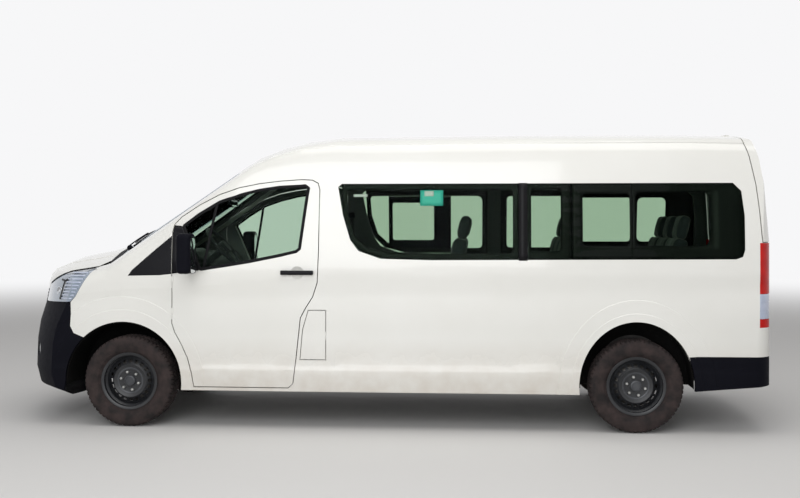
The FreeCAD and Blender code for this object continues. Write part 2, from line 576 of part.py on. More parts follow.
def pull(middle_x):
    """A door pull: the cup sunk in the skin behind it, and a rounded bar on two feet."""
    surface = n.body_half_width - 8
    cup = Part.makeSphere(n.cup_radius, V(middle_x, surface + n.cup_radius - n.cup_depth, n.pull_height))
    bar = Part.makeBox(n.pull_length, n.pull_wall, n.pull_width,
                       V(middle_x - n.pull_length / 2, surface + n.pull_stand,
                         n.pull_height - n.pull_width / 2))
    bar = bar.makeFillet(n.pull_wall * 0.4, bar.Edges)
    foot, sunk = 34, 8
    feet = [Part.makeBox(foot, n.pull_stand + sunk + 4, n.pull_width - 8,
                         V(x, surface - sunk, n.pull_height - n.pull_width / 2 + 4))
            for x in (middle_x - n.pull_length / 2 + 8, middle_x + n.pull_length / 2 - 8 - foot)]
    return cup, [bar] + feet


rail_groove = Part.makeBox(slider_rear - n.tail_x - 300, FAR, n.rail_groove_width,
                           V(n.tail_x + 270, 0, n.rail_groove_height)).cut(envelope(n.rail_groove_depth))
slider_cup, slider_bar = pull(slider_front - n.slider_pull_behind)
flap_recess = envelope(0).common(side_prism(flap_outline, 0, FAR, n.shut_gap)).cut(envelope(n.flap_wall + 22))
slider_post = Part.makeBox(n.band_pillar * 2, FAR, 3000, V(slider_rear - n.band_pillar, 0, 0))
flap_web = [Part.makeCylinder(2.5, 30, V(n.flap_x - n.shut_gap / 2, n.body_half_width, n.flap_bottom + 150)),
            Part.makeBox(14, 6, 30,
                         V(n.flap_x - n.shut_gap / 2 - 14, n.body_half_width - 6, n.flap_bottom + 150))]
side_left = side_base.cut([band_hole.cut(band_post), flap_recess]).fuse(webs + flap_web)
side_right = side_base.cut([band_hole.cut(slider_post), slider_outline(n.seat_gap), rail_groove]).fuse(webs)
slider = side_shell.common(slider_outline(0)).cut([band_hole.cut(slider_post), rear_arch, slider_cup])
slider = slider.fuse(slider_bar)
shaped("side_panel_left", side_left)
shaped("side_panel_right", flip(side_right))
shaped("sliding_door", flip(slider))


# Roof, screen, cowl and side glass
def cross_pin(x, z, low_y, span, reach, drop):
    """Half of a hinge that lies across the vehicle: a pin, and a tab that reaches along X to its panel."""
    pin = Part.makeCylinder(4, span, V(x, low_y, z), V(0, 1, 0))
    tab = Part.makeBox(abs(reach), span, drop, V(x + min(reach, 0), low_y, z - drop))
    return [pin, tab]


gate_pin_x = n.gate_hinge_x - 2 + n.shut_gap / 2
pin_span = 40
gate_pins, roof_pins = [], []
for low_y in (-260, 260 - 2 * pin_span):
    roof_pins += cross_pin(gate_pin_x, n.gate_hinge_height, low_y, pin_span - n.seat_gap, 24, 16)
    gate_pins += cross_pin(gate_pin_x, n.gate_hinge_height, low_y + pin_span, pin_span, -24, 16)
gutter = Part.makeBox(n.header_x - n.tail_x, n.gutter_width, 800,
                      V(n.tail_x, n.roof_seam - n.gutter_width, n.window_top)).cut(envelope(n.gutter_depth))
roof = skin(roof_zone, n.roof_wall).cut(gate_opening + [gutter, flip(gutter)]).fuse(roof_pins)
shaped("roof_panel", roof)
shaped("windscreen", skin(screen_zone, n.glass_wall, n.glass_inset))
bonnet_pin_x = n.cowl_x + 15 + n.shut_gap / 2
bonnet_pin_z = n.cowl_height + 2
cowl_pins, bonnet_pins = [], []
for low_y in (-120, 120 - 2 * pin_span):
    cowl_pins += cross_pin(bonnet_pin_x, bonnet_pin_z, low_y, pin_span - n.seat_gap, -20, 14)
    bonnet_pins += cross_pin(bonnet_pin_x, bonnet_pin_z, low_y + pin_span, pin_span, 20, 14)
shaped("cowl_panel", skin(cowl_zone, n.bonnet_wall).fuse(cowl_pins))
panes = [skin(band_hole.cut(post), n.glass_wall, n.glass_inset) for post in (band_post, slider_post)]
shaped("side_glass", Part.makeCompound(panes[0].Solids + flip(panes[1]).Solids))

# Front doors
door_cup, door_bar = pull(dfx - n.pull_behind_hinge)
door = skin(side_prism(door_outline, 0), n.door_wall).cut([side_prism(door_window, 0), door_cup])
leaves = [piece for low in (hinge_low, hinge_high) for piece in hinge_leaf(low + hinge_length + n.seat_gap)]
door = door.fuse(leaves + door_bar)
door_pane = skin(side_prism(door_window, 0), n.glass_wall, n.glass_inset)
mirror_x = ax - n.mirror_behind
mirror_z = n.mirror_bottom
skin_y = n.body_half_width + 3
head = Part.makeBox(n.mirror_depth, n.mirror_width, n.mirror_height,
                    V(mirror_x, skin_y + n.mirror_stand, mirror_z))
head = head.makeFillet(n.mirror_round, head.Edges)
arm = Part.makeBox(n.arm_depth, n.mirror_stand + n.mirror_width / 2, n.arm_height,
                   V(mirror_x + (n.mirror_depth - n.arm_depth) / 2, skin_y - 90,
                     mirror_z + n.mirror_round / 2))
mirror = head.fuse(arm.makeFillet(n.arm_depth / 5, arm.Edges)).cut(envelope(-n.seat_gap))
for side, turn in (("left", lambda shape: shape), ("right", flip)):
    shaped("door_front_" + side, turn(door))
    shaped("door_glass_" + side, turn(door_pane))
    shaped("mirror_" + side, turn(mirror))

# Nose: wings, quarter trims, bonnet, lamps, grille and bumper
wing = skin(wing_zone, n.wing_wall).cut(front_arch)
shaped("front_wings", both(max(wing.Solids, key=lambda solid: solid.Volume)))
shaped("quarter_trims", both(skin(quarter_zone, n.wing_wall)))
shaped("bonnet", skin(side_prism(bonnet_side, -FAR), n.bonnet_wall).fuse(bonnet_pins))
lamp = skin(side_prism(lamp_outline, n.lamp_inner), n.lamp_depth)
shaped("headlamps", both(max(lamp.Solids, key=lambda solid: solid.Volume)))
grille_zone = Part.makeBox(500, 2 * n.lamp_inner - 1, n.grille_top - n.grille_bottom,
                           V(n.nose_x - 400, 0.5 - n.lamp_inner, n.grille_bottom))
pitch = (n.grille_top - n.grille_bottom - n.grille_bar) / n.grille_bars
slots = [Part.makeBox(600, 2 * n.lamp_inner - 60, pitch - n.grille_bar,
                      V(n.nose_x - 450, 30 - n.lamp_inner, n.grille_bottom + n.grille_bar + pitch * count))
         for count in range(int(n.grille_bars))]
shaped("grille", skin(grille_zone, n.bumper_wall).cut(slots))


def grid(half_width, low, high, columns, rows):
    """Rows and columns of holes through the nose, with a bar between each two."""
    bar = n.intake_bar
    wide, tall = (2 * half_width + bar) / columns, (high - low + bar) / rows
    corners = [V(n.nose_x - 500, wide * column - half_width, low + tall * row)
               for column in range(int(columns)) for row in range(int(rows))]
    return [Part.makeBox(700, wide - bar, tall - bar, corner) for corner in corners]


intakes = grid(n.intake_half_width, n.intake_bottom, n.intake_top, n.intake_columns, n.intake_rows)
intakes += grid(n.air_slot_half_width, n.air_slot_bottom, n.air_slot_top, n.intake_columns, 1)
fog_wells = [Part.makeCylinder(n.fog_radius, 700, V(n.nose_x - 500, y, n.fog_height), V(1, 0, 0))
             .cut(envelope(n.fog_depth)) for y in (n.fog_offset, -n.fog_offset)]
bumper = skin(side_prism(front_bumper_outline, -FAR), n.bumper_wall)
bumper = bumper.cut([front_arches] + intakes + fog_wells)
shaped("front_bumper", max(bumper.Solids, key=lambda solid: solid.Volume))

# Tail: lamps, bumper, tailgate
line_heights = [n.tail_lamp_bottom + n.lamp_line_pitch * count
                for count in range(1, int(n.lamp_line_count) + 1)]
lamp_lines = [Part.makeBox(400, FAR, n.lamp_line, V(n.tail_x - 100, 0, height)).cut(envelope(n.lamp_line))
              for height in line_heights]
shaped("tail_lamps", both(skin(tail_lamp_zone, n.side_wall).cut(lamp_lines)))
rear_bumper = skin(side_prism(rear_bumper_outline, -FAR), n.bumper_wall).cut(rear_arches)
shaped("rear_bumper", max(rear_bumper.Solids, key=lambda solid: solid.Volume))
glass_half = n.gate_glass_half_width
gate_hole = front_prism([(-glass_half, n.gate_glass_bottom), (glass_half, n.gate_glass_bottom),
                         (glass_half - 40, n.gate_glass_top), (40 - glass_half, n.gate_glass_top)],
                        n.tail_x - 100, n.tail_x + 400)
plate_holes = [Part.makeCylinder(n.plate_hole_radius, 400, V(n.tail_x - 100, y, n.plate_height), V(1, 0, 0))
               for y in (-n.plate_hole_spacing / 2, n.plate_hole_spacing / 2)]
gate_well = Part.makeBox(400, n.gate_pull_length, n.gate_pull_width,
                         V(n.tail_x - 100, -n.gate_pull_length / 2, n.gate_pull_height))
gate_well = gate_well.cut(envelope(n.gate_pull_depth))
gate = skin(gate_zone_upper.fuse(gate_lower), n.side_wall).cut([gate_hole, gate_well] + plate_holes)
shaped("tailgate", gate.fuse(gate_pins))
shaped("tailgate_glass", skin(gate_hole, n.glass_wall, n.glass_inset))

# Fuel flap
flap_pin_x = n.flap_x - n.shut_gap / 2
flap_pin_y = n.body_half_width
flap_low = n.flap_bottom + 150
flap_pins = [Part.makeCylinder(2.5, 30, V(flap_pin_x, flap_pin_y, flap_low + 30 + n.seat_gap)),
             Part.makeBox(14, 6, 30, V(flap_pin_x, flap_pin_y - 6, flap_low + 30 + n.seat_gap))]
shaped("fuel_flap", skin(side_prism(flap_outline, 0), n.flap_wall).fuse(flap_pins))


# Wheels: rims turned about the Y axis, and tyres of flat facets
def outline_sketch(body, plane, name, ring):
    """A closed outline on a plane of a body, each corner held by two formulas."""
    sketch = body.newObject("Sketcher::SketchObject", name)
    sketch.AttachmentSupport, sketch.MapMode = [(plane, "")], "FlatFace"
    corners = [(number(first), number(second)) for first, second in ring]
    following = corners[1:] + corners[:1]
    lines = [Part.LineSegment(V(*start, 0), V(*end, 0)) for start, end in zip(corners, following)]
    sketch.addGeometry(lines)
    count = len(ring)
    joins = [Sketcher.Constraint("Coincident", (index - 1) % count, 2, index, 1) for index in range(count)]
    sketch.addConstraint(joins)
    for index, (formulas, corner) in enumerate(zip(ring, corners)):
        for kind, formula, value in zip(("DistanceX", "DistanceY"), formulas, corner):
            entry = sketch.addConstraint(Sketcher.Constraint(kind, -1, 1, index, 1, value))
            sketch.setExpression("Constraints[%d]" % entry, cells(formula))
    return sketch


def turned(name, ring, place, turn=FreeCAD.Rotation()):
    """A revolved body: each ring row gives radius and offset along the axle as formulas."""
    body = doc.addObject("PartDesign::Body", name)
    plane = next(item for item in body.Origin.OriginFeatures if item.Role == "XY_Plane")
    sketch = outline_sketch(body, plane, name + "_profile", ring)
    spin = body.newObject("PartDesign::Revolution", name + "_turned")
    spin.Profile, spin.ReferenceAxis, spin.Angle = sketch, (sketch, ["V_Axis"]), 360
    body.Placement = FreeCAD.Placement(V(), turn)
    return bind(body, x=place[0], y=place[1], z=place[2])


def slot_ring(body, width, height, circle, count):
    """Rectangular slots along the axle, spread evenly on a circle of a turned body."""
    plane = next(item for item in body.Origin.OriginFeatures if item.Role == "XZ_Plane")
    ring = [("%s %s %s / 2" % (circle, along, height), "%s%s / 2" % (aside, width))
            for along, aside in (("-", "-"), ("+", "-"), ("+", ""), ("-", ""))]
    sketch = outline_sketch(body, plane, body.Name + "_slot", ring)
    pocket = body.newObject("PartDesign::Pocket", body.Name + "_vent")
    pocket.Profile, pocket.Type, pocket.Midplane = sketch, "ThroughAll", True
    pattern = body.newObject("PartDesign::PolarPattern", body.Name + "_vents")
    pattern.Originals, pattern.Axis, pattern.Angle = [pocket], (sketch, ["N_Axis"]), 360
    pattern.setExpression("Occurrences", cells(count))
    body.Tip = pattern
    return body


# radius, offset: over the bead seats from the outer flange to the inner one, back along the inside, the disc
rim_ring = [
    ("rim_radius", "rim_width / 2"), ("rim_radius", "rim_width / 2 - 6"),
    ("bead_radius", "rim_width / 2 - 8"), ("bead_radius", "rim_width / 2 - 36"),
    ("well_radius", "rim_width / 2 - 50"), ("well_radius", "60 - rim_width / 2"),
    ("bead_radius", "40 - rim_width / 2"), ("bead_radius", "8 - rim_width / 2"),
    ("rim_radius", "6 - rim_width / 2"),
    ("rim_radius", "-rim_width / 2"), ("rim_radius - 6", "-rim_width / 2"),
    ("bead_radius - 4", "4 - rim_width / 2"), ("bead_radius - 4", "42 - rim_width / 2"),
    ("well_radius - 4", "62 - rim_width / 2"), ("well_radius - 4", "hub_offset - 34"),
    ("vent_circle + 16", "hub_offset - 26"), ("vent_circle - 22", "hub_offset + 8"),
    ("nut_circle + 24", "hub_offset"), ("hub_bore", "hub_offset"), ("hub_bore", "hub_offset + disc_wall"),
    ("nut_circle + 20", "hub_offset + disc_wall"), ("vent_circle - 24", "hub_offset + 8 + disc_wall"),
    ("vent_circle + 18", "hub_offset - 26 + disc_wall"), ("well_radius - 4", "hub_offset - 34 + disc_wall"),
    ("well_radius - 4", "rim_width / 2 - 52"), ("bead_radius - 4", "rim_width / 2 - 38"),
    ("bead_radius - 4", "rim_width / 2 - 4"), ("rim_radius - 6", "rim_width / 2"),
]
# radius, offset: one half of the tyre's outline, from the bead to the tread
tyre_half = [
    ("bead_radius + seat_gap", "rim_width / 2 - 8 - seat_gap"),
    ("rim_radius + 1", "rim_width / 2 - 6 - seat_gap"), ("rim_radius + 24", "tyre_width / 2 - 7"),
    ("(rim_radius + tyre_radius) / 2 - 10", "tyre_width / 2"),
    ("tyre_radius - 16", "tyre_width / 2 - 14"), ("tyre_radius", "tyre_width / 2 - 38"),
]
tyre_ring = tyre_half + [(radius, "-(%s)" % offset) for radius, offset in reversed(tyre_half)]


def faceted_tyre():
    """The tyre's outline carried round in flat facets, one of them level under the axle."""
    step = 2 * math.pi / n.tyre_sides
    stretch = 1 / math.cos(step / 2)
    ring = [(number(radius) * stretch, number(offset)) for radius, offset in tyre_ring]
    angles = [(index + 0.5) * step for index in range(int(n.tyre_sides))]
    rounds = [[V(radius * math.sin(angle), offset, -radius * math.cos(angle)) for radius, offset in ring]
              for angle in angles]
    faces = []
    for near, far in zip(rounds, rounds[1:] + rounds[:1]):
        for index in range(len(ring)):
            corners = [near[index - 1], near[index], far[index], far[index - 1]]
            faces.append(Part.Face(Part.makePolygon(corners + corners[:1])))
    solid = Part.Solid(Part.makeShell(faces))
    return solid if solid.Volume > 0 else solid.reversed()


outward = {"left": FreeCAD.Rotation(), "right": FreeCAD.Rotation(V(0, 0, 1), 180)}
for end, axle in (("front", "front_axle_x"), ("rear", "rear_axle_x")):
    for side, sign in (("left", ""), ("right", "-")):
        place = (axle, sign + "wheel_half_track", "wheel_centre_z")
        rim = turned("rim_%s_%s" % (end, side), rim_ring, place, outward[side])
        slot_ring(rim, "vent_width", "vent_height", "vent_circle", "vent_count")
        tyre = shaped("tyre_%s_%s" % (end, side), faceted_tyre())
        bind(tyre, x=place[0], y=place[1], z=place[2])

# Knuckles: an upright inside the rim, with the hub on its outer face and the steering arm behind
hub_face = "wheel_half_track + hub_offset - seat_gap"
upright = box("upright", ("upright_length", "upright_wall", "2 * upright_half"),
              ("front_axle_x - upright_length / 2", "kingpin_y - upright_wall / 2",
               "wheel_centre_z - upright_half"))
hub_centre = ("front_axle_x", "kingpin_y", "wheel_centre_z")
hub = rod("hub", "hub_radius", hub_face + " - kingpin_y", hub_centre, "y")
spigot = rod("spigot", "hub_bore - 0.5", hub_face + " + 12 - kingpin_y", hub_centre, "y")
brake = rod("brake", "brake_radius", "24", ("front_axle_x", "kingpin_y + 28", "wheel_centre_z"), "y")
lever = box("lever", ("lever_length", "30", "26"),
            ("front_axle_x - lever_length - 20", "kingpin_y - 20", "wheel_centre_z - upright_half / 2"))
knuckle_left = fuse("knuckle_left", upright, hub, spigot, brake, lever)
knuckle_right = mirrored("knuckle_right", knuckle_left)

# Front subframe: a crossmember with two pairs of fixed arms, each ending in a round ball-joint housing
# over the kingpin's axis, clear of the brake disc at full lock
beam = box("beam", ("beam_length", "2 * (apron_half + post_wall + 4)", "beam_height"),
           ("front_axle_x - beam_length / 2", "-(apron_half + post_wall + 4)", "beam_bottom"))
frame_parts = [beam]
arm_low_z = "wheel_centre_z - upright_half - arm_wall - seat_gap"
arm_high_z = "wheel_centre_z + upright_half + seat_gap"
for side, sign in (("left", 1), ("right", -1)):
    start = "apron_half + 4" if sign > 0 else "-kingpin_y"
    post_y = "apron_half + 4" if sign > 0 else "-(apron_half + post_wall + 4)"
    kingpin = "kingpin_y" if sign > 0 else "-kingpin_y"
    for level, height in (("low", arm_low_z), ("high", arm_high_z)):
        arm_name = "arm_%s_%s" % (level, side)
        frame_parts += [
            box(arm_name, ("2 * arm_radius", "kingpin_y - apron_half - 4", "arm_wall"),
                ("front_axle_x - arm_radius", start, height)),
            rod(arm_name + "_end", "arm_radius", "arm_wall", ("front_axle_x", kingpin, height)),
        ]
    post_height = "wheel_centre_z + upright_half + arm_wall - beam_bottom"
    frame_parts.append(box("post_" + side, ("post_length", "post_wall", post_height),
                           ("front_axle_x - post_length / 2", post_y, "beam_bottom")))
fuse("front_subframe", *frame_parts)

# Rear axle, leaf springs, tank, exhaust and spare wheel under the floor
tube = rod("tube", "axle_radius", "2 * (%s)" % hub_face,
           ("rear_axle_x", "-(%s)" % hub_face, "wheel_centre_z"), "y")
noses = [rod("nose_" + side, "hub_bore - 0.5", "40",
             ("rear_axle_x", "%s(%s)%s" % (sign, hub_face, shift), "wheel_centre_z"), "y")
         for side, sign, shift in (("left", "", " - 28"), ("right", "-", " - 12"))]
drums = [rod("hub_" + side, "110", "60", ("rear_axle_x", place, "wheel_centre_z"), "y")
         for side, place in (("left", hub_face + " - 90"), ("right", "-(%s) + 30" % hub_face))]
shaft_front = "front_axle_x - gearbox_behind"
casing = rod("casing", "casing_radius", "casing_width",
             ("rear_axle_x", "-casing_width / 2", "wheel_centre_z"), "y")
shaft = rod("shaft", "shaft_radius", shaft_front + " - seat_gap - rear_axle_x",
            ("rear_axle_x", "0", "shaft_height"), "x")
flanges = [rod("flange_" + end, "shaft_radius + 18", "30", (place, "0", "shaft_height"), "x")
           for end, place in (("rear", "rear_axle_x + casing_radius + 20"),
                              ("front", shaft_front + " - 30 - seat_gap"))]
dampers = [rod("damper_" + side, "damper_radius", "floor_height - wheel_centre_z - seat_gap",
               ("rear_axle_x + axle_radius + 8", place, "wheel_centre_z"))
           for side, place in (("left", "damper_half_track"), ("right", "-damper_half_track"))]
fuse("rear_axle", tube, *noses, *drums, casing, shaft, *flanges, *dampers)


def leaf_spring():
    """A bowed leaf under the axle with a hanger at each end, up to the floor."""
    top = n.wheel_centre_z - n.axle_radius - n.seat_gap
    low = n.spring_half_track - n.spring_width / 2
    edges = []
    for drop in (0, 2 * n.spring_leaf):
        points = [V(rx - n.spring_reach, low, top + n.spring_drop - drop), V(rx, low, top - drop),
                  V(rx + n.spring_reach, low, top + n.spring_drop - drop)]
        edges.append(Part.Arc(*points).toShape())
    ends = [Part.makeLine(edges[0].Vertexes[i].Point, edges[1].Vertexes[i].Point) for i in (0, 1)]
    face = Part.Face(Part.Wire([edges[0], ends[1], edges[1], ends[0]]))
    leaf = face.extrude(V(0, n.spring_width, 0))
    hanger_height = n.floor_height - n.seat_gap - (top + n.spring_drop - 45)
    hangers = [Part.makeBox(50, n.spring_width, hanger_height, V(x, low, top + n.spring_drop - 45))
               for x in (rx - n.spring_reach - 25, rx + n.spring_reach - 25)]
    return leaf.fuse(hangers)


shaped("leaf_springs", both(leaf_spring()))
tank = box("tank", ("tank_length", "tank_width", "tank_depth"),
           ("front_axle_x - tank_behind", "tank_offset", "floor_height - tank_depth - seat_gap"))
rounded_tank = doc.addObject("Part::Fillet", "rounded_tank")
rounded_tank.Base = tank
LONG_LOWER_EDGES = (9, 11)
rounded_tank.Edges = [(edge, n.tank_round, n.tank_round) for edge in LONG_LOWER_EDGES]
rounded_tank.Label = "fuel_tank"
pipe_rear, pipe_front = "rear_axle_x - pipe_rear_behind", "front_axle_x - pipe_front_behind"
pipe = rod("pipe", "pipe_radius", "(%s) - (%s)" % (pipe_front, pipe_rear),
           (pipe_rear, "-pipe_offset", "pipe_height"), "x")
silencer = rod("silencer", "silencer_radius", "silencer_length",
               ("front_axle_x - silencer_behind", "-pipe_offset", "silencer_height"), "x")
strap = box("strap", ("40", "2 * pipe_radius", "floor_height - pipe_height - seat_gap"),
            ("front_axle_x - silencer_behind + silencer_length / 2", "-pipe_offset - pipe_radius",
             "pipe_height"))
fuse("exhaust", pipe, silencer, strap)
spare_x = "rear_axle_x - spare_behind"
spare_tyre = rod("spare_tyre", "spare_radius", "spare_width", (spare_x, "0", "spare_bottom"))
spare_dish = rod("spare_dish", "rim_radius - 20", "spare_width / 2", (spare_x, "0", "spare_bottom"))
spare_hook = rod("spare_hook", "12", "floor_height - spare_bottom - spare_width / 2 - seat_gap",
                 (spare_x, "0", "spare_bottom + spare_width / 2"))
spare_disc = rod("spare_disc", "rim_radius - 15", "14", (spare_x, "0", "spare_bottom + spare_width / 2 + 15"))
fuse("spare_wheel", cut("spare_ring", spare_tyre, spare_dish), spare_hook, spare_disc)

# Floor: a deck with wheel tubs and two rails, cut to the inside of the side panels
inside = envelope(n.side_wall + n.seat_gap)
deck = Part.makeBox(n.bulkhead_x - n.seat_gap - n.tail_x, 2 * FAR, n.floor_wall,
                    V(n.tail_x, -FAR, n.floor_height))
rear_void = arch_block("rear", n.tub_inner + n.tub_wall, FAR)
front_void = arch_block("front", n.apron_half - n.apron_wall - n.seat_gap, FAR, n.tub_wall + n.seat_gap)
low_block = Part.makeBox(n.overall_length, 2 * FAR, n.floor_height, V(-n.overall_length / 2, -FAR, 0))
rail_rear = n.tail_x + n.rail_setback
rails = [Part.makeBox(n.door_front_x - n.rail_setback / 2 - rail_rear, n.rail_width, n.rail_height,
                      V(rail_rear, y, n.floor_height - n.rail_height))
         for y in (n.rail_inner, -n.rail_inner - n.rail_width)]
cross_places = (rx + 620, rx + 1150, ax - n.tank_behind + n.tank_length + 80, ax - n.gearbox_behind - 100)
rails += [Part.makeBox(n.cross_wall, 2 * n.rail_inner + 2, n.cross_height,
                       V(x, -n.rail_inner - 1, n.floor_height - n.cross_height))
          for x in cross_places]
tub = arch_block("rear", n.tub_inner, FAR, n.tub_wall).cut(low_block).common(inside)
sill_notch = side_prism(door_outline, 0, FAR, n.shut_gap).cut(envelope(n.door_wall + n.shut_gap))
floor = deck.common(inside).fuse([tub, flip(tub)])
for void in (rear_void, front_void, sill_notch):
    floor = floor.cut([void, flip(void)])
shaped("floor_pan", floor.fuse(rails))

# Engine bay: bulkhead, shelf, aprons, wheel housings and the radiator panel, in one welded shell
bay_front = n.nose_x - n.bay_behind_nose
apron_low = n.apron_bottom + n.seat_gap
bulkhead = Part.makeBox(n.apron_wall, 2 * FAR, n.shelf_height - n.floor_height + 60,
                        V(n.bulkhead_x, -FAR, n.floor_height - 60))
shelf = Part.makeBox(n.cowl_x - 30 - n.bulkhead_x, 2 * FAR, n.apron_wall,
                     V(n.bulkhead_x, -FAR, n.shelf_height - n.apron_wall))
cowl_wall = Part.makeBox(n.apron_wall, 2 * FAR, 400, V(n.cowl_x - 50, -FAR, n.shelf_height - n.apron_wall))
aprons = [Part.makeBox(bay_front - n.bulkhead_x, n.apron_wall, n.apron_height, V(n.bulkhead_x, y, apron_low))
          for y in (n.apron_half - n.apron_wall, -n.apron_half)]
radiator = Part.makeBox(n.apron_wall, 2 * n.apron_half, n.radiator_height,
                        V(bay_front - n.apron_wall, -n.apron_half, n.radiator_bottom))
housing = arch_block("front", n.apron_half - n.apron_wall, FAR, n.tub_wall)
housing_void = arch_block("front", n.apron_half, FAR)
housing = housing.cut([housing_void, Part.makeBox(n.nose_x, FAR, apron_low, V(0, 0, 0)),
                       Part.makeBox(n.nose_x, n.apron_half, n.roof_height, V(0, -1, 0))])
panels = [part.common(inside) for part in (bulkhead, shelf, cowl_wall)]
housing_fit = housing.common(envelope(n.wing_wall + n.side_wall))
bay = panels[0].fuse(panels[1:] + aprons + [radiator, housing_fit, flip(housing_fit)])
bay = bay.cut([housing_void, flip(housing_void)])
bay = bay.common(envelope(n.bonnet_wall + 12))
shaped("engine_bay", max(bay.Solids, key=lambda solid: solid.Volume))
block = box("block", ("engine_length", "engine_width", "engine_height"),
            ("cowl_x - 60", "-engine_width / 2", "engine_bottom"))
mounting = box("mounting", ("90", "2 * (apron_half - apron_wall - seat_gap)", "60"),
               ("cowl_x + 150", "-(apron_half - apron_wall - seat_gap)", "engine_bottom + 60"))
bell = rod("bell", "bell_radius", "bell_length + 20",
           ("cowl_x - 60 - bell_length / 2", "0", "shaft_height"), "x")
gearbox = rod("gearbox", "gearbox_radius", "cowl_x - 60 - front_axle_x + gearbox_behind",
              ("front_axle_x - gearbox_behind", "0", "shaft_height"), "x")
fuse("engine", block, mounting, bell, gearbox)

# Cabin: dashboard with the steering column, steering wheel and seats
dash_rear = ax - n.dash_behind
dash_side = [(dash_rear + 90, 860), (dash_rear, 1080), (dash_rear + 10, 1250), (dash_rear + 60, n.dash_top),
             (n.cowl_x - 110, n.dash_top - 4), (n.cowl_x - 52, n.shelf_height + 60),
             (n.cowl_x - 52, n.shelf_height + n.seat_gap),
             (n.bulkhead_x - n.seat_gap, n.shelf_height + n.seat_gap), (n.bulkhead_x - n.seat_gap, 860)]
tilt = math.radians(n.column_tilt)
column_way = V(math.cos(tilt), 0, -math.sin(tilt))
column_top = V(n.column_x, n.driver_offset, n.column_height)
column = Part.makeCylinder(30, 260, column_top + column_way * (30 + n.seat_gap), column_way)
binnacle_start = V(dash_rear + n.binnacle_radius + 15, n.driver_offset - n.binnacle_width / 2,
                   n.dash_top - n.binnacle_radius / 2)
binnacle = Part.makeCylinder(n.binnacle_radius, n.binnacle_width, binnacle_start, V(0, 1, 0))
dash = envelope(n.door_wall + 25).common(side_prism(dash_side, -n.dash_half_width, n.dash_half_width))
dash = dash.fuse([column, binnacle])
shaped("dashboard", dash)
grip = doc.addObject("Part::Torus", "grip")
bind(grip, Radius1="wheel_rim_radius", Radius2="wheel_rim_grip")
boss = rod("boss", "55", "60", ("0", "0", "-30"))
spokes = box("spokes", ("60", "2 * wheel_rim_radius - 8", "14"), ("-30", "-wheel_rim_radius + 4", "-12"))
lower_spoke = box("lower_spoke", ("wheel_rim_radius - 4", "44", "14"),
                  ("-wheel_rim_radius + 4", "-22", "-12"))
steering = fuse("steering_wheel", grip, boss, spokes, lower_spoke)
steering.Placement = FreeCAD.Placement(V(), FreeCAD.Rotation(V(0, 1, 0), n.column_tilt - 90))
bind(steering, x="column_x", y="driver_offset", z="column_height")


def padded(depth, width, height, corner):
    """A block with rounded edges."""
    block_shape = Part.makeBox(depth, width, height, corner)
    return block_shape.makeFillet(n.seat_round, block_shape.Edges)


def seat(front_x, low_y, width, top, places):
    """A row of places on one base: a cushion, a leaning back and a head restraint for each place."""
    rear_x = front_x - n.seat_depth
    base = Part.makeBox(n.seat_depth - 2 * n.base_inset, width - 2 * n.base_inset,
                        top - n.cushion_wall / 2 - n.floor_top - n.seat_gap,
                        V(rear_x + n.base_inset, low_y + n.base_inset, n.floor_top + n.seat_gap))
    cushion = padded(n.seat_depth, width, n.cushion_wall, V(rear_x, low_y, top - n.cushion_wall))
    back_x, back_z = rear_x - n.cushion_wall + n.back_overlap, top - n.cushion_wall / 2
    upper = [padded(n.cushion_wall, width, n.back_height, V(back_x, low_y, back_z))]
    for place in range(places):
        middle = low_y + width * (place + 0.5) / places
        upper.append(padded(n.restraint_wall, n.restraint_width, n.restraint_height,
                            V(back_x + 10, middle - n.restraint_width / 2,
                              back_z + n.back_height - n.back_overlap)))
    for piece in upper:
        piece.rotate(V(rear_x, 0, back_z), V(0, 1, 0), -n.back_lean)
    return base.fuse([cushion] + upper)


seat_x = ax - n.front_seat_behind
rear_width = 2 * n.rear_seat_half_width
shaped("driver_seat", seat(seat_x, n.driver_offset - n.seat_width / 2, n.seat_width, n.seat_height, 1))
shaped("front_bench", seat(seat_x, n.bench_low_y, n.bench_width, n.seat_height, 2))
rows = [seat(n.door_rear_x - n.first_row_behind - n.row_pitch * row, -n.rear_seat_half_width, rear_width,
             n.rear_seat_height, 3) for row in range(int(n.row_count))]
shaped("rear_seats", Part.makeCompound(rows))

# Every object has to be whole before anything is written
doc.recompute()
inner = {member.Name for obj in doc.Objects for member in obj.OutList if obj is not knuckle_right}
finished = [obj for obj in doc.Objects if obj.isDerivedFrom("Part::Feature") and obj.Name not in inner]
faults = [obj.Label for obj in doc.Objects if {"Invalid", "Error"} & set(obj.State)]
faults += [obj.Label for obj in finished
           if obj.Shape.isNull() or not obj.Shape.isValid() or not obj.Shape.Solids]
if faults:
    raise RuntimeError("not whole: " + ", ".join(faults))
os.makedirs("parts", exist_ok=True)
for obj in finished:
    obj.Shape.exportStep("parts/%s.step" % obj.Label)
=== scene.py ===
"""A long high-roof minibus: its looks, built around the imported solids.

Lengths are metres in the vehicle's own frame: +X forward, +Y to its left, +Z up, the origin on the ground
under its middle. The sections follow the vehicle as it is put together, from the painted shell to the cabin.
"""

import json
import math

import bpy
from mathutils import Matrix
from mathutils.bvhtree import BVHTree
import numpy as np

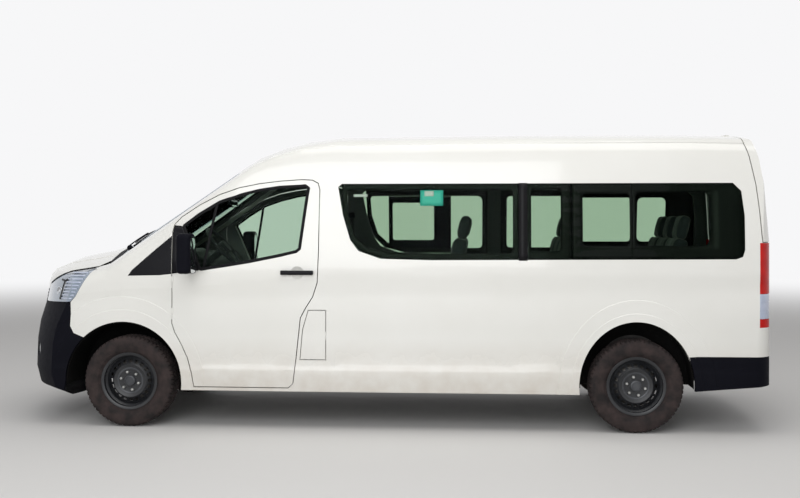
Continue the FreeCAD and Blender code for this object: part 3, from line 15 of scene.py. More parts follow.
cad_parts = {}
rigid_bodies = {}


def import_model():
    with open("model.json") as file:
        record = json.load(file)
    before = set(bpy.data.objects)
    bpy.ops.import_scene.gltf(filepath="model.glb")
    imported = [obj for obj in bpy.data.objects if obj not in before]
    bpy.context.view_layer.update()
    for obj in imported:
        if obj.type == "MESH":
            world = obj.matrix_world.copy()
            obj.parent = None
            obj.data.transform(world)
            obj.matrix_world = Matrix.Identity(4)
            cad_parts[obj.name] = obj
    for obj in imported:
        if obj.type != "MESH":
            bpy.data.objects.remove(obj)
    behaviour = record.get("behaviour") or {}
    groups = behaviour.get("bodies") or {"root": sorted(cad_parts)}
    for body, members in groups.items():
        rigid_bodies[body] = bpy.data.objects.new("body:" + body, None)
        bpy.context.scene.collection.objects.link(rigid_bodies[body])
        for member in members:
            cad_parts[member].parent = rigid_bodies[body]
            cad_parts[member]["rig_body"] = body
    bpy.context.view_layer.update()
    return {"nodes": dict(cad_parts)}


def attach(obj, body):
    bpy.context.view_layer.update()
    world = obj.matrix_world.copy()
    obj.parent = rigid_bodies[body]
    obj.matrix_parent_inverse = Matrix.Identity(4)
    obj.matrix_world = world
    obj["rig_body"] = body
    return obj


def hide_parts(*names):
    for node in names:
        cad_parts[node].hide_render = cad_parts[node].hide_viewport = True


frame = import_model()
scene = bpy.context.scene
scene.view_settings.view_transform = "Standard"


# The camera stands to the vehicle's left at eye height, nearly square to its side, a little ahead of its
# middle. The focal length is in pixels of the 800 pixel wide frame.
camera_place = (-0.72395, 8.90638, 1.56379)
camera_turn, camera_pitch = math.radians(4.1348), math.radians(-1.3729)
focal_pixels, frame_width, sensor = 1060.48, 800, 36.0
camera = bpy.data.objects.new("camera", bpy.data.cameras.new("camera"))
scene.collection.objects.link(camera)
camera.location = camera_place
camera.rotation_euler = (math.pi / 2 + camera_pitch, 0, math.pi + camera_turn)
camera.data.sensor_width = sensor
camera.data.lens = focal_pixels * sensor / frame_width
scene.camera = camera


# The studio: a pale floor that fades into an even background, one broad lamp overhead and another on the
# camera's side. Nothing here belongs to the vehicle.
def new_material(name):
    """An empty node material: the material, its node tree and its Principled shader."""
    material = bpy.data.materials.new(name)
    material.use_nodes = True
    return material, material.node_tree, material.node_tree.nodes["Principled BSDF"]


def feed(tree, node, **inputs):
    """Link outputs to a node's inputs, or give them values; an underscore in a name stands for a blank."""
    for name, value in inputs.items():
        entry = node.inputs[name.replace("_", " ")]
        if isinstance(value, bpy.types.NodeSocket):
            tree.links.new(value, entry)
        else:
            entry.default_value = value


def add(tree, kind, **inputs):
    """A new shader node with some of its inputs fed."""
    node = tree.nodes.new("ShaderNode" + kind)
    feed(tree, node, **inputs)
    return node


def joined(tree, operation, first, second):
    """Two values joined in one, such as their product or the larger of them."""
    node = add(tree, "Math")
    node.operation = operation
    tree.links.new(first, node.inputs[0])
    tree.links.new(second, node.inputs[1])
    return node.outputs["Value"]


def blend(tree, share, first, second):
    """Make the material's surface a mix of two shaders, by a share from 0 to 1."""
    mix = add(tree, "MixShader", Fac=share)
    tree.links.new(first, mix.inputs[1])
    tree.links.new(second, mix.inputs[2])
    feed(tree, tree.nodes["Material Output"], Surface=mix.outputs["Shader"])


def studio_floor(radius=45.0, clear=(7.0, 24.0), backdrop=0.93, shade=0.72):
    """A disc whose own colour gives way to the backdrop's between two distances from its middle."""
    bpy.ops.mesh.primitive_circle_add(vertices=96, radius=radius, fill_type="NGON")
    floor = bpy.context.object
    floor.name = "studio_floor"
    material, tree, shader = new_material("studio_floor")
    feed(tree, shader, Base_Color=(shade, shade * 0.985, shade * 0.965, 1), Roughness=0.75)
    glow = add(tree, "Emission", Color=(backdrop, backdrop, backdrop * 1.01, 1))
    length = add(tree, "VectorMath")
    length.operation = "LENGTH"
    tree.links.new(add(tree, "TexCoord").outputs["Object"], length.inputs[0])
    fade = add(tree, "MapRange", From_Min=clear[0], From_Max=clear[1], Value=length.outputs["Value"])
    fade.interpolation_type = "SMOOTHERSTEP"
    blend(tree, fade.outputs["Result"], shader.outputs["BSDF"], glow.outputs["Emission"])
    floor.data.materials.append(material)


def studio_lamp(name, place, aim, size, power, colour):
    """A square area lamp at a place, facing another."""
    lamp = bpy.data.objects.new(name, bpy.data.lights.new(name, "AREA"))
    scene.collection.objects.link(lamp)
    lamp.data.size, lamp.data.energy, lamp.data.color = size, power, colour
    lamp.location = place
    away = np.array(place, float) - np.array(aim, float)
    tilt = math.atan2(math.hypot(away[0], away[1]), away[2])
    lamp.rotation_euler = (tilt, 0, math.atan2(away[0], -away[1]))


def studio_world(seen=0.93, lit=0.34):
    """The background is even to the eye, in gloss and through glass, and dimmer as a source of light."""
    world = bpy.data.worlds.new("studio")
    world.use_nodes = True
    scene.world = world
    tree = world.node_tree
    path = add(tree, "LightPath")
    most = path.outputs["Is Camera Ray"]
    for ray in ("Is Glossy Ray", "Is Transmission Ray"):
        most = joined(tree, "MAXIMUM", most, path.outputs[ray])
    level = add(tree, "MapRange", To_Min=lit, To_Max=seen, Value=most)
    feed(tree, tree.nodes["Background"], Strength=level.outputs["Result"], Color=(1.0, 1.0, 1.01, 1))


studio_floor()
studio_world()
studio_lamp("sky_lamp", (-1.0, 2.5, 8.5), (0, 0, 0.8), 7.0, 270, (1.0, 0.985, 0.96))
studio_lamp("side_lamp", (1.0, 9.5, 4.2), (0, 0, 1.0), 6.0, 370, (0.97, 0.985, 1.0))


# The painted shell: pressed steel side panels, roof, wings, bonnet, doors and tailgate in glossy warm
# white. Each is a welded copy of its solid, shaded smooth over the bends and sharp at the cut edges.
def noise(tree, scale, detail=3.0):
    """Noise in the piece's own metres, in cells of about 1 / scale."""
    place = add(tree, "TexCoord").outputs["Object"]
    return add(tree, "TexNoise", Scale=scale, Detail=detail, Vector=place).outputs["Fac"]


def ramp(tree, source, dark, light, low=0.3, high=0.7):
    """A colour that goes from dark to light as the source goes from low to high."""
    node = add(tree, "ValToRGB", Fac=source)
    first, last = node.color_ramp.elements
    first.position, last.position = low, high
    first.color, last.color = (*dark, 1), (*light, 1)
    return node.outputs["Color"]


def two_tone(tree, shader, *tones):
    """Base colour between a dark and a light tone, led by a pattern."""
    feed(tree, shader, Base_Color=ramp(tree, *tones))


def roughen(tree, shader, source, low, high):
    """Roughness between two values, led by a pattern."""
    spread = add(tree, "MapRange", To_Min=low, To_Max=high, Value=source)
    feed(tree, shader, Roughness=spread.outputs["Result"])


def emboss(tree, shader, source, depth):
    """Bump of a depth in metres from a pattern."""
    feed(tree, shader, Normal=add(tree, "Bump", Distance=depth, Height=source).outputs["Normal"])


def height_blend(tree, low, high):
    """A value that falls from 1 at one height above the ground to 0 at another."""
    parts = add(tree, "SeparateXYZ", Vector=add(tree, "TexCoord").outputs["Object"])
    spread = add(tree, "MapRange", From_Min=low, From_Max=high, To_Min=1.0, To_Max=0.0,
                 Value=parts.outputs["Z"])
    return spread.outputs["Result"]


def mixed(tree, share, first, second):
    """A colour between a pattern's and a plain one, by a share from 0 to 1."""
    mix = add(tree, "Mix")
    mix.data_type = "RGBA"
    colours = [entry for entry in mix.inputs if entry.type == "RGBA"]
    tree.links.new(share, mix.inputs["Factor"])
    tree.links.new(first, colours[0])
    colours[1].default_value = (*second, 1)
    return next(entry for entry in mix.outputs if entry.type == "RGBA")


def white_paint():
    """Warm white gloss under clear lacquer, faintly rippled, with a little road dust towards the sills."""
    material, tree, shader = new_material("white_paint")
    clean = ramp(tree, noise(tree, 1.6), (0.815, 0.806, 0.760), (0.845, 0.838, 0.798))
    dust = joined(tree, "MULTIPLY", height_blend(tree, 0.24, 0.70), noise(tree, 9.0, 6.0))
    feed(tree, shader, Base_Color=mixed(tree, dust, clean, (0.56, 0.49, 0.41)))
    roughen(tree, shader, dust, 0.22, 0.55)
    emboss(tree, shader, noise(tree, 240.0, 1.0), 0.00004)
    feed(tree, shader, Coat_Weight=0.6, Coat_Roughness=0.05, IOR=1.45)
    return material


def values(items, field, width=1, kind=float):
    """One field of every item of a mesh as an array."""
    found = np.zeros(len(items) * width, kind)
    items.foreach_get(field, found)
    return found


def welded(node, grain=2e-5):
    """A CAD node's triangles with their corners joined: points, and the three points of each triangle."""
    mesh = frame["nodes"][node].data
    points = values(mesh.vertices, "co", 3).reshape(-1, 3)
    mesh.calc_loop_triangles()
    corners = values(mesh.loop_triangles, "vertices", 3, int)
    keys = np.round(points / grain).astype(np.int64)
    first, place = np.unique(keys, axis=0, return_index=True, return_inverse=True)[1:]
    triangles = place.ravel()[corners].reshape(-1, 3)
    whole = (triangles != np.roll(triangles, 1, 1)).all(1)
    return points[first], triangles[whole]


def facets(points, triangles):
    """Middles of triangles, the ways they face, as long as twice their areas, and those lengths."""
    a, b, c = (points[triangles[:, k]] for k in range(3))
    ways = np.cross(b - a, c - a)
    return (a + b + c) / 3, ways, np.linalg.norm(ways, axis=1)


def new_piece(name, points, faces, material, sharp=None):
    """A mesh object from points and faces, smooth except at edges sharper than an angle in degrees."""
    mesh = bpy.data.meshes.new(name)
    mesh.from_pydata(np.asarray(points, float).tolist(), [], [list(map(int, face)) for face in faces])
    mesh.validate()
    mesh.materials.append(material)
    if sharp is not None:
        mesh.shade_smooth()
        mesh.set_sharp_from_angle(angle=math.radians(sharp))
    piece = bpy.data.objects.new(name, mesh)
    scene.collection.objects.link(piece)
    return piece


def place_on(piece, body, slot_name, *stands_for):
    """The piece rides on a body and may stand for CAD nodes, which it hides; slot_name is not used."""
    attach(piece, body)
    if stands_for:
        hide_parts(*stands_for)
    return piece


def dressed(node, name, material, slot_name, sharp=28.0, keep=None):
    """A smooth-shaded copy that stands for a CAD node, on the same body; keep picks its triangles by their
    middles and by the ways they face."""
    points, triangles = welded(node)
    if keep is not None:
        middles, ways, sizes = facets(points, triangles)
        triangles = triangles[keep(middles, ways / sizes[:, None])]
        used, place = np.unique(triangles, return_inverse=True)
        points, triangles = points[used], place.reshape(-1, 3)
    piece = new_piece(name, points, triangles, material, sharp)
    return place_on(piece, frame["nodes"][node]["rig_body"], slot_name, node)


paint = white_paint()
for node in ("tailgate", "front_wings", "bonnet", "fuel_flap"):
    dressed(node, "painted_" + node, paint, "body_paint")


# Panels with a lined inner side: what faces the cabin is hidden by grey moulded trim, on the roof by a felt
# headlining. Both follow the panel's own inner skin.
def grained_plastic(name, dark, light, rough=(0.42, 0.62), grain=900.0, shine=0.12):
    """Moulded plastic in two close tones, with a leather-like grain."""
    material, tree, shader = new_material(name)
    two_tone(tree, shader, noise(tree, 4.0, 4.0), dark, light)
    roughen(tree, shader, noise(tree, 30.0), *rough)
    emboss(tree, shader, noise(tree, grain, 1.0), 0.00018)
    feed(tree, shader, Specular_IOR_Level=shine)
    return material


trim_plastic = grained_plastic("trim_plastic", (0.10, 0.105, 0.105), (0.13, 0.135, 0.132), (0.6, 0.8), 700.0)
headlining = grained_plastic("headlining", (0.20, 0.20, 0.19), (0.25, 0.25, 0.235), (0.85, 0.95), 1600.0)


def inner_side(middles, normals, sill=0.56):
    """True for triangles above the sill that face the vehicle's middle."""
    return (normals[:, 1] * np.sign(middles[:, 1]) < -0.5) & (middles[:, 2] > sill)


for node in ("side_panel_left", "side_panel_right"):
    dressed(node, "painted_" + node, paint, "body_paint", keep=lambda *face: ~inner_side(*face))
    dressed(node, "lined_" + node, trim_plastic, "cabin_plastic", keep=inner_side)
down_facing = -0.3
dressed("roof_panel", "painted_roof_panel", paint, "body_paint",
        keep=lambda middles, normals: normals[:, 2] > down_facing)
dressed("roof_panel", "lined_roof_panel", headlining, "seat_cloth",
        keep=lambda middles, normals: normals[:, 2] <= down_facing)


# Black mouldings: bumpers, grille, mirror shells, the scuttle below the screen and the corner trims ahead
# of the doors, all injection moulded with a fine grain that catches the light only at a low angle.
black_plastic = grained_plastic("black_plastic", (0.0042, 0.0044, 0.0075), (0.0062, 0.0064, 0.0100),
                                (0.5, 0.7), shine=0.05)
gloss_black = grained_plastic("gloss_black", (0.004, 0.004, 0.006), (0.006, 0.006, 0.008), (0.18, 0.28),
                              300.0, 0.14)
for node in ("front_bumper", "rear_bumper", "grille", "cowl_panel", "mirror_left", "mirror_right"):
    dressed(node, "moulded_" + node, black_plastic, "dark_plastic")
dressed("quarter_trims", "moulded_quarter_trims", gloss_black, "dark_plastic")


# Doors and their pulls: each painted skin carries a black moulded pull over a sunken cup. The pull is the
# part of the door's solid that stands out past the skin.
pull_half, pull_height, pull_reach, pull_line = 0.130, 1.192, 0.022, 0.958
for node, pull_x in (("door_front_left", 0.6325), ("door_front_right", 0.6325), ("sliding_door", 0.2075)):
    def on_pull(middles, normals, x=pull_x):
        """True for the triangles of the pull: within its half length and reach, and outside the skin."""
        return ((np.abs(middles[:, 0] - x) < pull_half) & (np.abs(middles[:, 2] - pull_height) < pull_reach)
                & (np.abs(middles[:, 1]) > pull_line))

    dressed(node, "painted_" + node, paint, "body_paint",
            keep=lambda *face: ~on_pull(*face) & ~inner_side(*face))
    dressed(node, "lined_" + node, trim_plastic, "cabin_plastic", keep=inner_side)
    dressed(node, "pull_" + node, gloss_black, "dark_plastic", 40.0, on_pull)


# Side windows: two long panes a side, bonded in the rebate of the band's opening. A black fired border hides
# the glue and divides the band into its see-through windows; black covers hide the posts between panes.
def outer_points(node):
    """Corners of a node's triangles that face outwards, those of the right side turned over to the left."""
    points, triangles = welded(node)
    middles, ways, sizes = facets(points, triangles)
    outward = (ways[:, 1] * np.sign(middles[:, 1]) > 0.85 * sizes) & (sizes > 1e-7)
    picked = points[np.unique(triangles[outward])]
    picked[:, 1] = np.abs(picked[:, 1])
    return picked


def fitted(first, second, value, degree=4):
    """A value over two coordinates: the polynomial that lies nearest to given places by least squares."""
    middle = first.mean(), second.mean()

    def powers(a, b):
        """Every product of powers of the distances from the middle, up to the degree."""
        return np.stack([(a - middle[0]) ** i * (b - middle[1]) ** j
                         for i in range(degree + 1) for j in range(degree + 1 - i)], -1)

    weights = np.linalg.lstsq(powers(first, second), value, rcond=None)[0]
    return lambda a, b: powers(a, b) @ weights


def rounded(corners, bend=6, run=8):
    """A closed outline of x and z through corners (x, z, radius): each corner is an arc that meets both
    of its sides at a tangent, each side between two arcs a straight run of evenly spread points."""
    corners = np.array(corners, float)
    places, radius = corners[:, :2], corners[:, 2:]
    back, ahead = np.roll(places, 1, 0) - places, np.roll(places, -1, 0) - places
    back /= np.linalg.norm(back, axis=1)[:, None]
    ahead /= np.linalg.norm(ahead, axis=1)[:, None]
    half = np.arccos(np.clip((back * ahead).sum(1), -1, 1))[:, None] / 2
    middle = back + ahead
    centre = places + middle / np.linalg.norm(middle, axis=1)[:, None] * radius / np.sin(half)
    start = places + back * radius / np.tan(half) - centre
    end = places + ahead * radius / np.tan(half) - centre
    sweep = (math.pi - 2 * half)[:, None]
    part = np.linspace(0, 1, bend)[None, :, None]
    arc = centre[:, None] + (np.sin((1 - part) * sweep) * start[:, None] + np.sin(part * sweep) * end[:, None]
                             ) / np.sin(sweep)
    part = np.linspace(0, 1, run + 2)[None, 1:-1, None]
    first, last = arc[:, -1:], np.roll(arc[:, :1], -1, 0)
    return np.concatenate([arc, first + part * (last - first)], axis=1).reshape(-1, 2)


def grid_faces(rows, columns, wrap_rows=False, wrap_columns=False):
    """Quads between neighbours of a grid of points, closed round in either way."""
    row, column = np.meshgrid(np.arange(rows - (not wrap_rows)), np.arange(columns - (not wrap_columns)),
                              indexing="ij")
    row, column = row.ravel(), column.ravel()
    below, beside = (row + 1) % rows, (column + 1) % columns
    return np.stack([row * columns + column, row * columns + beside, below * columns + beside,
                     below * columns + column], 1)


def surface(name, grid, material, body, slot_name, wrap=(False, False), ends=False, sharp=35.0, wall=0.0,
            stands_for=(), turn=False):
    """A piece from a grid of points (rows, columns, 3); ends closes its first and last row, wall thickens
    it to the side away from its normals, and turn swaps its sides."""
    rows, columns = grid.shape[:2]
    faces = grid_faces(rows, columns, *wrap).tolist()
    if ends:
        faces += [list(range(columns))[::-1], list(range((rows - 1) * columns, rows * columns))]
    if turn:
        faces = [face[::-1] for face in faces]
    piece = new_piece(name, grid.reshape(-1, 3), faces, material, sharp)
    if wall:
        solid = piece.modifiers.new("wall", "SOLIDIFY")
        solid.thickness, solid.offset = wall, -1.0
    return place_on(piece, body, slot_name, *stands_for)


def sided(grid, left):
    """A grid made for the left side, or the same turned over to the right side."""
    return grid if left else grid * (1, -1, 1)


def between(first, last, rows):
    """Both coordinates of evenly spread lines from one line of points to another."""
    part = np.linspace(0, 1, rows)[:, None, None]
    flat = first[None] * (1 - part) + last[None] * part
    return flat[..., 0], flat[..., 1]


def ring_grid(outer, inner, side, depth, rows=4, bulge=0.0):
    """Points between two closed outlines of x and z, laid on a side's surface at a depth below it; the
    bulge lifts the middle of the ring as a sine arch."""
    x, z = between(outer, inner, rows)
    lift = bulge * np.sin(math.pi * np.linspace(0, 1, rows))[:, None]
    return np.stack([x, side(x, z) - depth + lift, z], -1)


side_x, side_y, side_z = outer_points("side_glass").T
glass_side_y = fitted(side_x, side_z, side_y)


def glass_border(name, outer, inner, left, material, slot_name, depth=0.0056, wall=0.0006):
    """A ring on the side glass between two outlines, on the left side or the right."""
    grid = ring_grid(rounded(outer), rounded(inner), glass_side_y, depth)
    surface(name, sided(grid, left), material, "body", slot_name, (False, True), wall=wall, turn=not left)


fired_black = grained_plastic("fired_black", (0.005, 0.005, 0.006), (0.007, 0.007, 0.008), (0.25, 0.35),
                              400.0)
band_top, band_low, band_rear, edge = 1.868, 1.287, -2.6965, 0.003
band_front_edge = [(0.2995, band_top), (0.2885, 1.629), (0.2305, 1.440), (0.131, 1.344), (-0.06, 1.295)]


def front_window(rear, opening_rear, low=1.338, high=1.818):
    """Outline and opening of a band's foremost window, whose front edge curves with the band's."""
    outer = [(rear, band_low, edge), (rear, band_top, edge)] + [(x, z, edge) for x, z in band_front_edge]
    inner = [(opening_rear, low, 0.035), (opening_rear, high, 0.05), (0.258, high, 0.03),
             (0.246, 1.640, 0.01), (0.192, 1.470, 0.01), (0.098, 1.385, 0.01), (-0.08, low + 0.003, 0.01)]
    return outer, inner


def square_window(front, rear, opening_front, opening_rear, low, high, radius=0.03):
    """Outline and opening of a window between upright edges."""
    outer = [(rear, band_low, edge), (rear, band_top, edge), (front, band_top, edge),
             (front, band_low, edge)]
    inner = [(opening_rear, low, radius), (opening_rear, high, radius), (opening_front, high, radius),
             (opening_front, low, radius)]
    return outer, inner


left_windows = [
    front_window(-1.040, -0.994),
    square_window(-1.101, -1.4315, -1.131, -1.350, 1.358, 1.822),
    square_window(-1.4315, -1.880, -1.513, -1.858, 1.400, 1.786),
    square_window(-1.880, band_rear, -1.902, -2.436, 1.400, 1.797, 0.045),
]
right_windows = [
    front_window(-0.822, -0.775),
    square_window(-0.943, -1.600, -1.000, -1.555, 1.345, 1.815),
    square_window(-1.600, -2.150, -1.660, -2.123, 1.400, 1.800),
    square_window(-2.150, band_rear, -2.184, -2.436, 1.400, 1.800, 0.045),
]
for side, windows in (("left", left_windows), ("right", right_windows)):
    for index, (outer, inner) in enumerate(windows):
        glass_border("border_%s_%d" % (side, index), outer, inner, side == "left", fired_black,
                     "privacy_glass")


def strip_grid(x_rear, x_front, z_low, z_high, side, lift, columns=3, rows=16):
    """A patch of a side's surface between two upright and two level edges, lifted off it."""
    z, x = np.meshgrid(np.linspace(z_low, z_high, rows), np.linspace(x_rear, x_front, columns), indexing="ij")
    return np.stack([x, side(x, z) + lift, z], -1)


cover_overlap, cover_lift = 0.001, 0.0030
for name, rear, front in (("left", -1.1035, -1.0375), ("right_rear", -0.9455, -0.8850),
                          ("right_door", -0.8800, -0.8195)):
    grid = strip_grid(rear, front, band_low - cover_overlap, band_top + cover_overlap, glass_side_y,
                      cover_lift)
    surface("post_cover_" + name, sided(grid, name == "left"), fired_black, "body", "dark_plastic",
            wall=0.003, turn=name == "left")


# Glass: laminated screen and tempered side panes, all tinted green. A pane lets light straight through
# its colour, and mirrors more at a low angle.
def tinted_glass(name, tint, mirror=0.06):
    """A clear tint mixed with a sharp reflection that grows towards a grazing angle."""
    material, tree, shader = new_material(name)
    tree.nodes.remove(shader)
    clear = add(tree, "BsdfTransparent", Color=(*tint, 1))
    gloss = add(tree, "BsdfGlossy", Roughness=0.02, Color=(0.9, 0.95, 1.0, 1))
    angle = add(tree, "LayerWeight", Blend=mirror)
    blend(tree, angle.outputs["Fresnel"], clear.outputs["BSDF"], gloss.outputs["BSDF"])
    return material


# A pane's two faces each tint the light, so these are the square roots of a whole pane's tint.
front_glass = tinted_glass("front_glass", (0.80, 0.865, 0.81))
cabin_glass = tinted_glass("cabin_glass", (0.745, 0.82, 0.745))
dressed("windscreen", "glass_windscreen", front_glass, "clear_glass")
for side in ("left", "right"):
    dressed("door_glass_" + side, "glass_door_" + side, front_glass, "clear_glass")
dressed("side_glass", "glass_side", cabin_glass, "privacy_glass")
dressed("tailgate_glass", "glass_tailgate", cabin_glass, "privacy_glass")


# Door windows: a black rubber seal round each pane, a slim bar that parts off the small fixed pane in
# front, and the black corner moulding that carries the mirror.
side_x, side_y, side_z = outer_points("door_glass_left").T
door_side_y = fitted(side_x, side_z, side_y)
door_window = [(1.5245, 1.548, 0.02), (1.3985, 1.640, 0.05), (1.2445, 1.732, 0.05), (1.0905, 1.785, 0.05),
               (0.9355, 1.822, 0.05), (0.7805, 1.845, 0.05), (0.5805, 1.857, 0.02), (0.5495, 1.835, 0.01),
               (0.5585, 1.782, 0.02), (0.5865, 1.560, 0.05), (0.6115, 1.371, 0.015), (0.6405, 1.348, 0.01),
               (0.7715, 1.317, 0.05), (1.0005, 1.271, 0.05), (1.2315, 1.233, 0.05), (1.3865, 1.209, 0.02)]


def shifted(outline, distance):
    """A closed outline moved to its right-hand side, each point along the mean normal of its two sides."""
    along = np.roll(outline, -1, 0) - np.roll(outline, 1, 0)
    along /= np.linalg.norm(along, axis=1)[:, None]
    return outline + distance * np.stack([along[:, 1], -along[:, 0]], 1)


rubber = grained_plastic("rubber_seal", (0.006, 0.006, 0.007), (0.010, 0.010, 0.011), (0.55, 0.75), 500.0)
window_line = rounded(door_window)
corner_front = np.array([(1.6005, 1.181), (1.6005, 1.290), (1.6005, 1.400), (1.6005, 1.497), (1.5885, 1.551)])
corner_rear = np.array([(1.392, 1.206), (1.428, 1.292), (1.463, 1.378), (1.498, 1.463), (1.529, 1.545)])
bar_foot_x, bar_low, bar_high, bar_slope, bar_half = 1.355, 1.228, 1.716, 0.19, 0.011
corner_lift, bar_lift, bar_crown = 0.0045, 0.0035, 30
for left, side in ((True, "left"), (False, "right")):
    seal = ring_grid(shifted(window_line, 0.008), shifted(window_line, -0.016), door_side_y, -0.0030, 7,
                     0.0022)
    surface("window_seal_" + side, sided(seal, left), rubber, "door_" + side, "dark_plastic", (False, True),
            wall=0.005, turn=left)
    x, z = between(corner_front, corner_rear, 9)
    corner = np.stack([x, door_side_y(x, z) + corner_lift, z], -1)
    surface("window_corner_" + side, sided(corner, left), gloss_black, "door_" + side, "dark_plastic",
            wall=0.003, turn=not left)
    z, across = np.meshgrid(np.linspace(bar_low, bar_high, 16), np.linspace(-bar_half, bar_half, 5),
                            indexing="ij")
    x = bar_foot_x - (z - bar_low) * bar_slope + across
    bar = np.stack([x, door_side_y(x, z) + bar_lift - bar_crown * across ** 2, z], -1)
    surface("window_bar_" + side, sided(bar, left), rubber, "door_" + side, "dark_plastic", wall=0.012,
            turn=left)


# Wheels: pressed steel rims in black with a ring of slots, six bright nuts and a hub cap, on radial tyres
# whose tread has four round grooves and rows of blocks. Behind each rim is a dust plate or a brake drum.
def revolved(profile, count, centre, axis):
    """Grid of a profile (distance along an axis, radius from it) turned about that axis in even steps."""
    axis = np.array(axis, float) / np.linalg.norm(axis)
    first = np.cross(axis, (0.0, 0.0, 1.0) if abs(axis[2]) < 0.9 else (1.0, 0.0, 0.0))
    first /= np.linalg.norm(first)
    second = np.cross(axis, first)
    turn = np.linspace(0, 2 * math.pi, count, endpoint=False)[:, None, None]
    along, radius = (np.array(profile, float)[None, :, k, None] for k in (0, 1))
    return np.array(centre) + along * axis + radius * (np.cos(turn) * first + np.sin(turn) * second)


def turned_piece(name, profile, count, centre, axis, material, body, slot_name, loop=False):
    """A closed turned piece, whose profile begins and ends on the axis or is itself a loop."""
    surface(name, revolved(profile, count, centre, axis), material, body, slot_name, (True, loop))


def metal(name, dark, light, rough, metallic, grain=60.0, depth=0.0003):
    """Bare or painted metal in two tones, with uneven gloss and a fine or coarse skin."""
    material, tree, shader = new_material(name)
    two_tone(tree, shader, noise(tree, 8.0, 6.0), dark, light)
    roughen(tree, shader, noise(tree, 20.0), *rough)
    emboss(tree, shader, noise(tree, grain), depth)
    feed(tree, shader, Metallic=metallic)
    return material


tyre_radius, tyre_blocks, block_steps = 0.350, 60, 5
# half of the section: offset from the tyre's middle plane, radius
tyre_half = np.array([(0.079, 0.2035), (0.084, 0.214), (0.0855, 0.2225), (0.096, 0.232), (0.106, 0.244),
                      (0.113, 0.258), (0.1165, 0.274), (0.1172, 0.290), (0.115, 0.308), (0.1105, 0.323),
                      (0.104, 0.336), (0.096, 0.3435), (0.086, 0.3475), (0.070, 0.3488), (0.040, 0.3496),
                      (0.0, 0.350)])


tread_half, tread_radius, groove_depth = 0.104, 0.33, 0.0075
groove_lines, groove_half, block_row, shoulder_row = (0.019, 0.053), 0.0045, (0.0235, 0.0485), 0.0575
rib_radius, rib_height, rib_width = 0.243, 0.0016, 0.005


def tyre_grid(centre):
    """The section carried round the axle at even steps. Tread: four round grooves, and cross grooves that
    drop one step in five of each block row, the two rows half a block apart; a rib rings each sidewall."""
    section = np.concatenate([tyre_half, tyre_half[-2::-1] * (-1, 1)])
    run = np.concatenate([[0], np.cumsum(np.linalg.norm(np.diff(section, axis=0), axis=1))])
    even = np.linspace(0, run[-1], 97)
    offset, radius = (np.interp(even, run, section[:, k])[None] for k in (0, 1))
    steps = tyre_blocks * block_steps
    step = np.arange(steps)[:, None]
    reach = np.abs(offset)
    tread = (reach < tread_half) & (radius > tread_radius)
    round_groove = np.any([np.abs(reach - line) < groove_half for line in groove_lines], axis=0)
    shoulder = (reach > shoulder_row) & ((step + 2) % block_steps == 0)
    middle = (reach > block_row[0]) & (reach < block_row[1]) & (step % block_steps == 0)
    rounds = radius - groove_depth * (tread & (round_groove | shoulder | middle)) + 0 * step
    rib = rib_height * np.exp(-((radius - rib_radius) / rib_width) ** 2)
    side = offset + np.sign(offset) * rib + 0 * step
    angle = step * 2 * math.pi / steps
    x, y, z = centre
    return np.stack([x + rounds * np.sin(angle), y + side, z - rounds * np.cos(angle)], -1)


def rubber_material():
    """Dark rubber, dusty brown where the road's dirt has settled in a cloudy film."""
    material, tree, shader = new_material("tyre_rubber")
    dirt = noise(tree, 14.0, 8.0)
    two_tone(tree, shader, dirt, (0.016, 0.013, 0.013), (0.052, 0.037, 0.035), 0.35, 0.75)
    roughen(tree, shader, dirt, 0.72, 0.92)
    emboss(tree, shader, noise(tree, 420.0, 2.0), 0.0003)
    feed(tree, shader, Specular_IOR_Level=0.25)
    return material


tyre_rubber = rubber_material()
black_steel = metal("black_steel", (0.010, 0.011, 0.013), (0.020, 0.021, 0.024), (0.30, 0.42), 0.0, 200.0,
                    0.0001)
worn_steel = metal("worn_steel", (0.035, 0.037, 0.042), (0.075, 0.078, 0.085), (0.30, 0.45), 0.3, 150.0,
                   0.0002)
bright_zinc = metal("bright_zinc", (0.42, 0.42, 0.41), (0.62, 0.62, 0.60), (0.22, 0.38), 0.95, 220.0,
                    0.0001)
cast_metal = metal("cast_metal", (0.10, 0.095, 0.09), (0.2, 0.19, 0.18), (0.45, 0.7), 0.7)
nut_circle, nut_sides, disc_face, hub_radius, half_track = 0.070, 6, 0.061, 0.043, 0.837
# profiles: distance outwards along the axle, radius
hub_cap = [(-0.012, 0.0), (-0.012, hub_radius), (0.010, hub_radius), (0.016, hub_radius - 0.003),
           (0.018, hub_radius - 0.010), (0.014, hub_radius - 0.013), (0.014, 0.0)]
nut = [(-0.001, 0.0), (-0.001, 0.0115), (0.015, 0.0115), (0.018, 0.0090), (0.018, 0.0058), (0.025, 0.0058),
       (0.026, 0.0048), (0.026, 0.0)]
centre_ring = [(-0.002, 0.086), (0.0015, 0.090), (0.0030, 0.097), (0.0026, 0.105), (0.0, 0.110),
               (-0.004, 0.104), (-0.004, 0.088)]
dust_plate = [(0.0, 0.0), (0.0, 0.168), (0.006, 0.173), (0.012, 0.173), (0.012, 0.165), (0.007, 0.160),
              (0.007, 0.0)]
brake_drum = [(0.0, 0.0), (0.0, 0.158), (0.012, 0.164), (0.030, 0.164), (0.034, 0.160), (0.040, 0.160),
              (0.044, 0.164), (0.066, 0.164), (0.080, 0.150), (0.090, 0.120), (0.090, 0.0)]


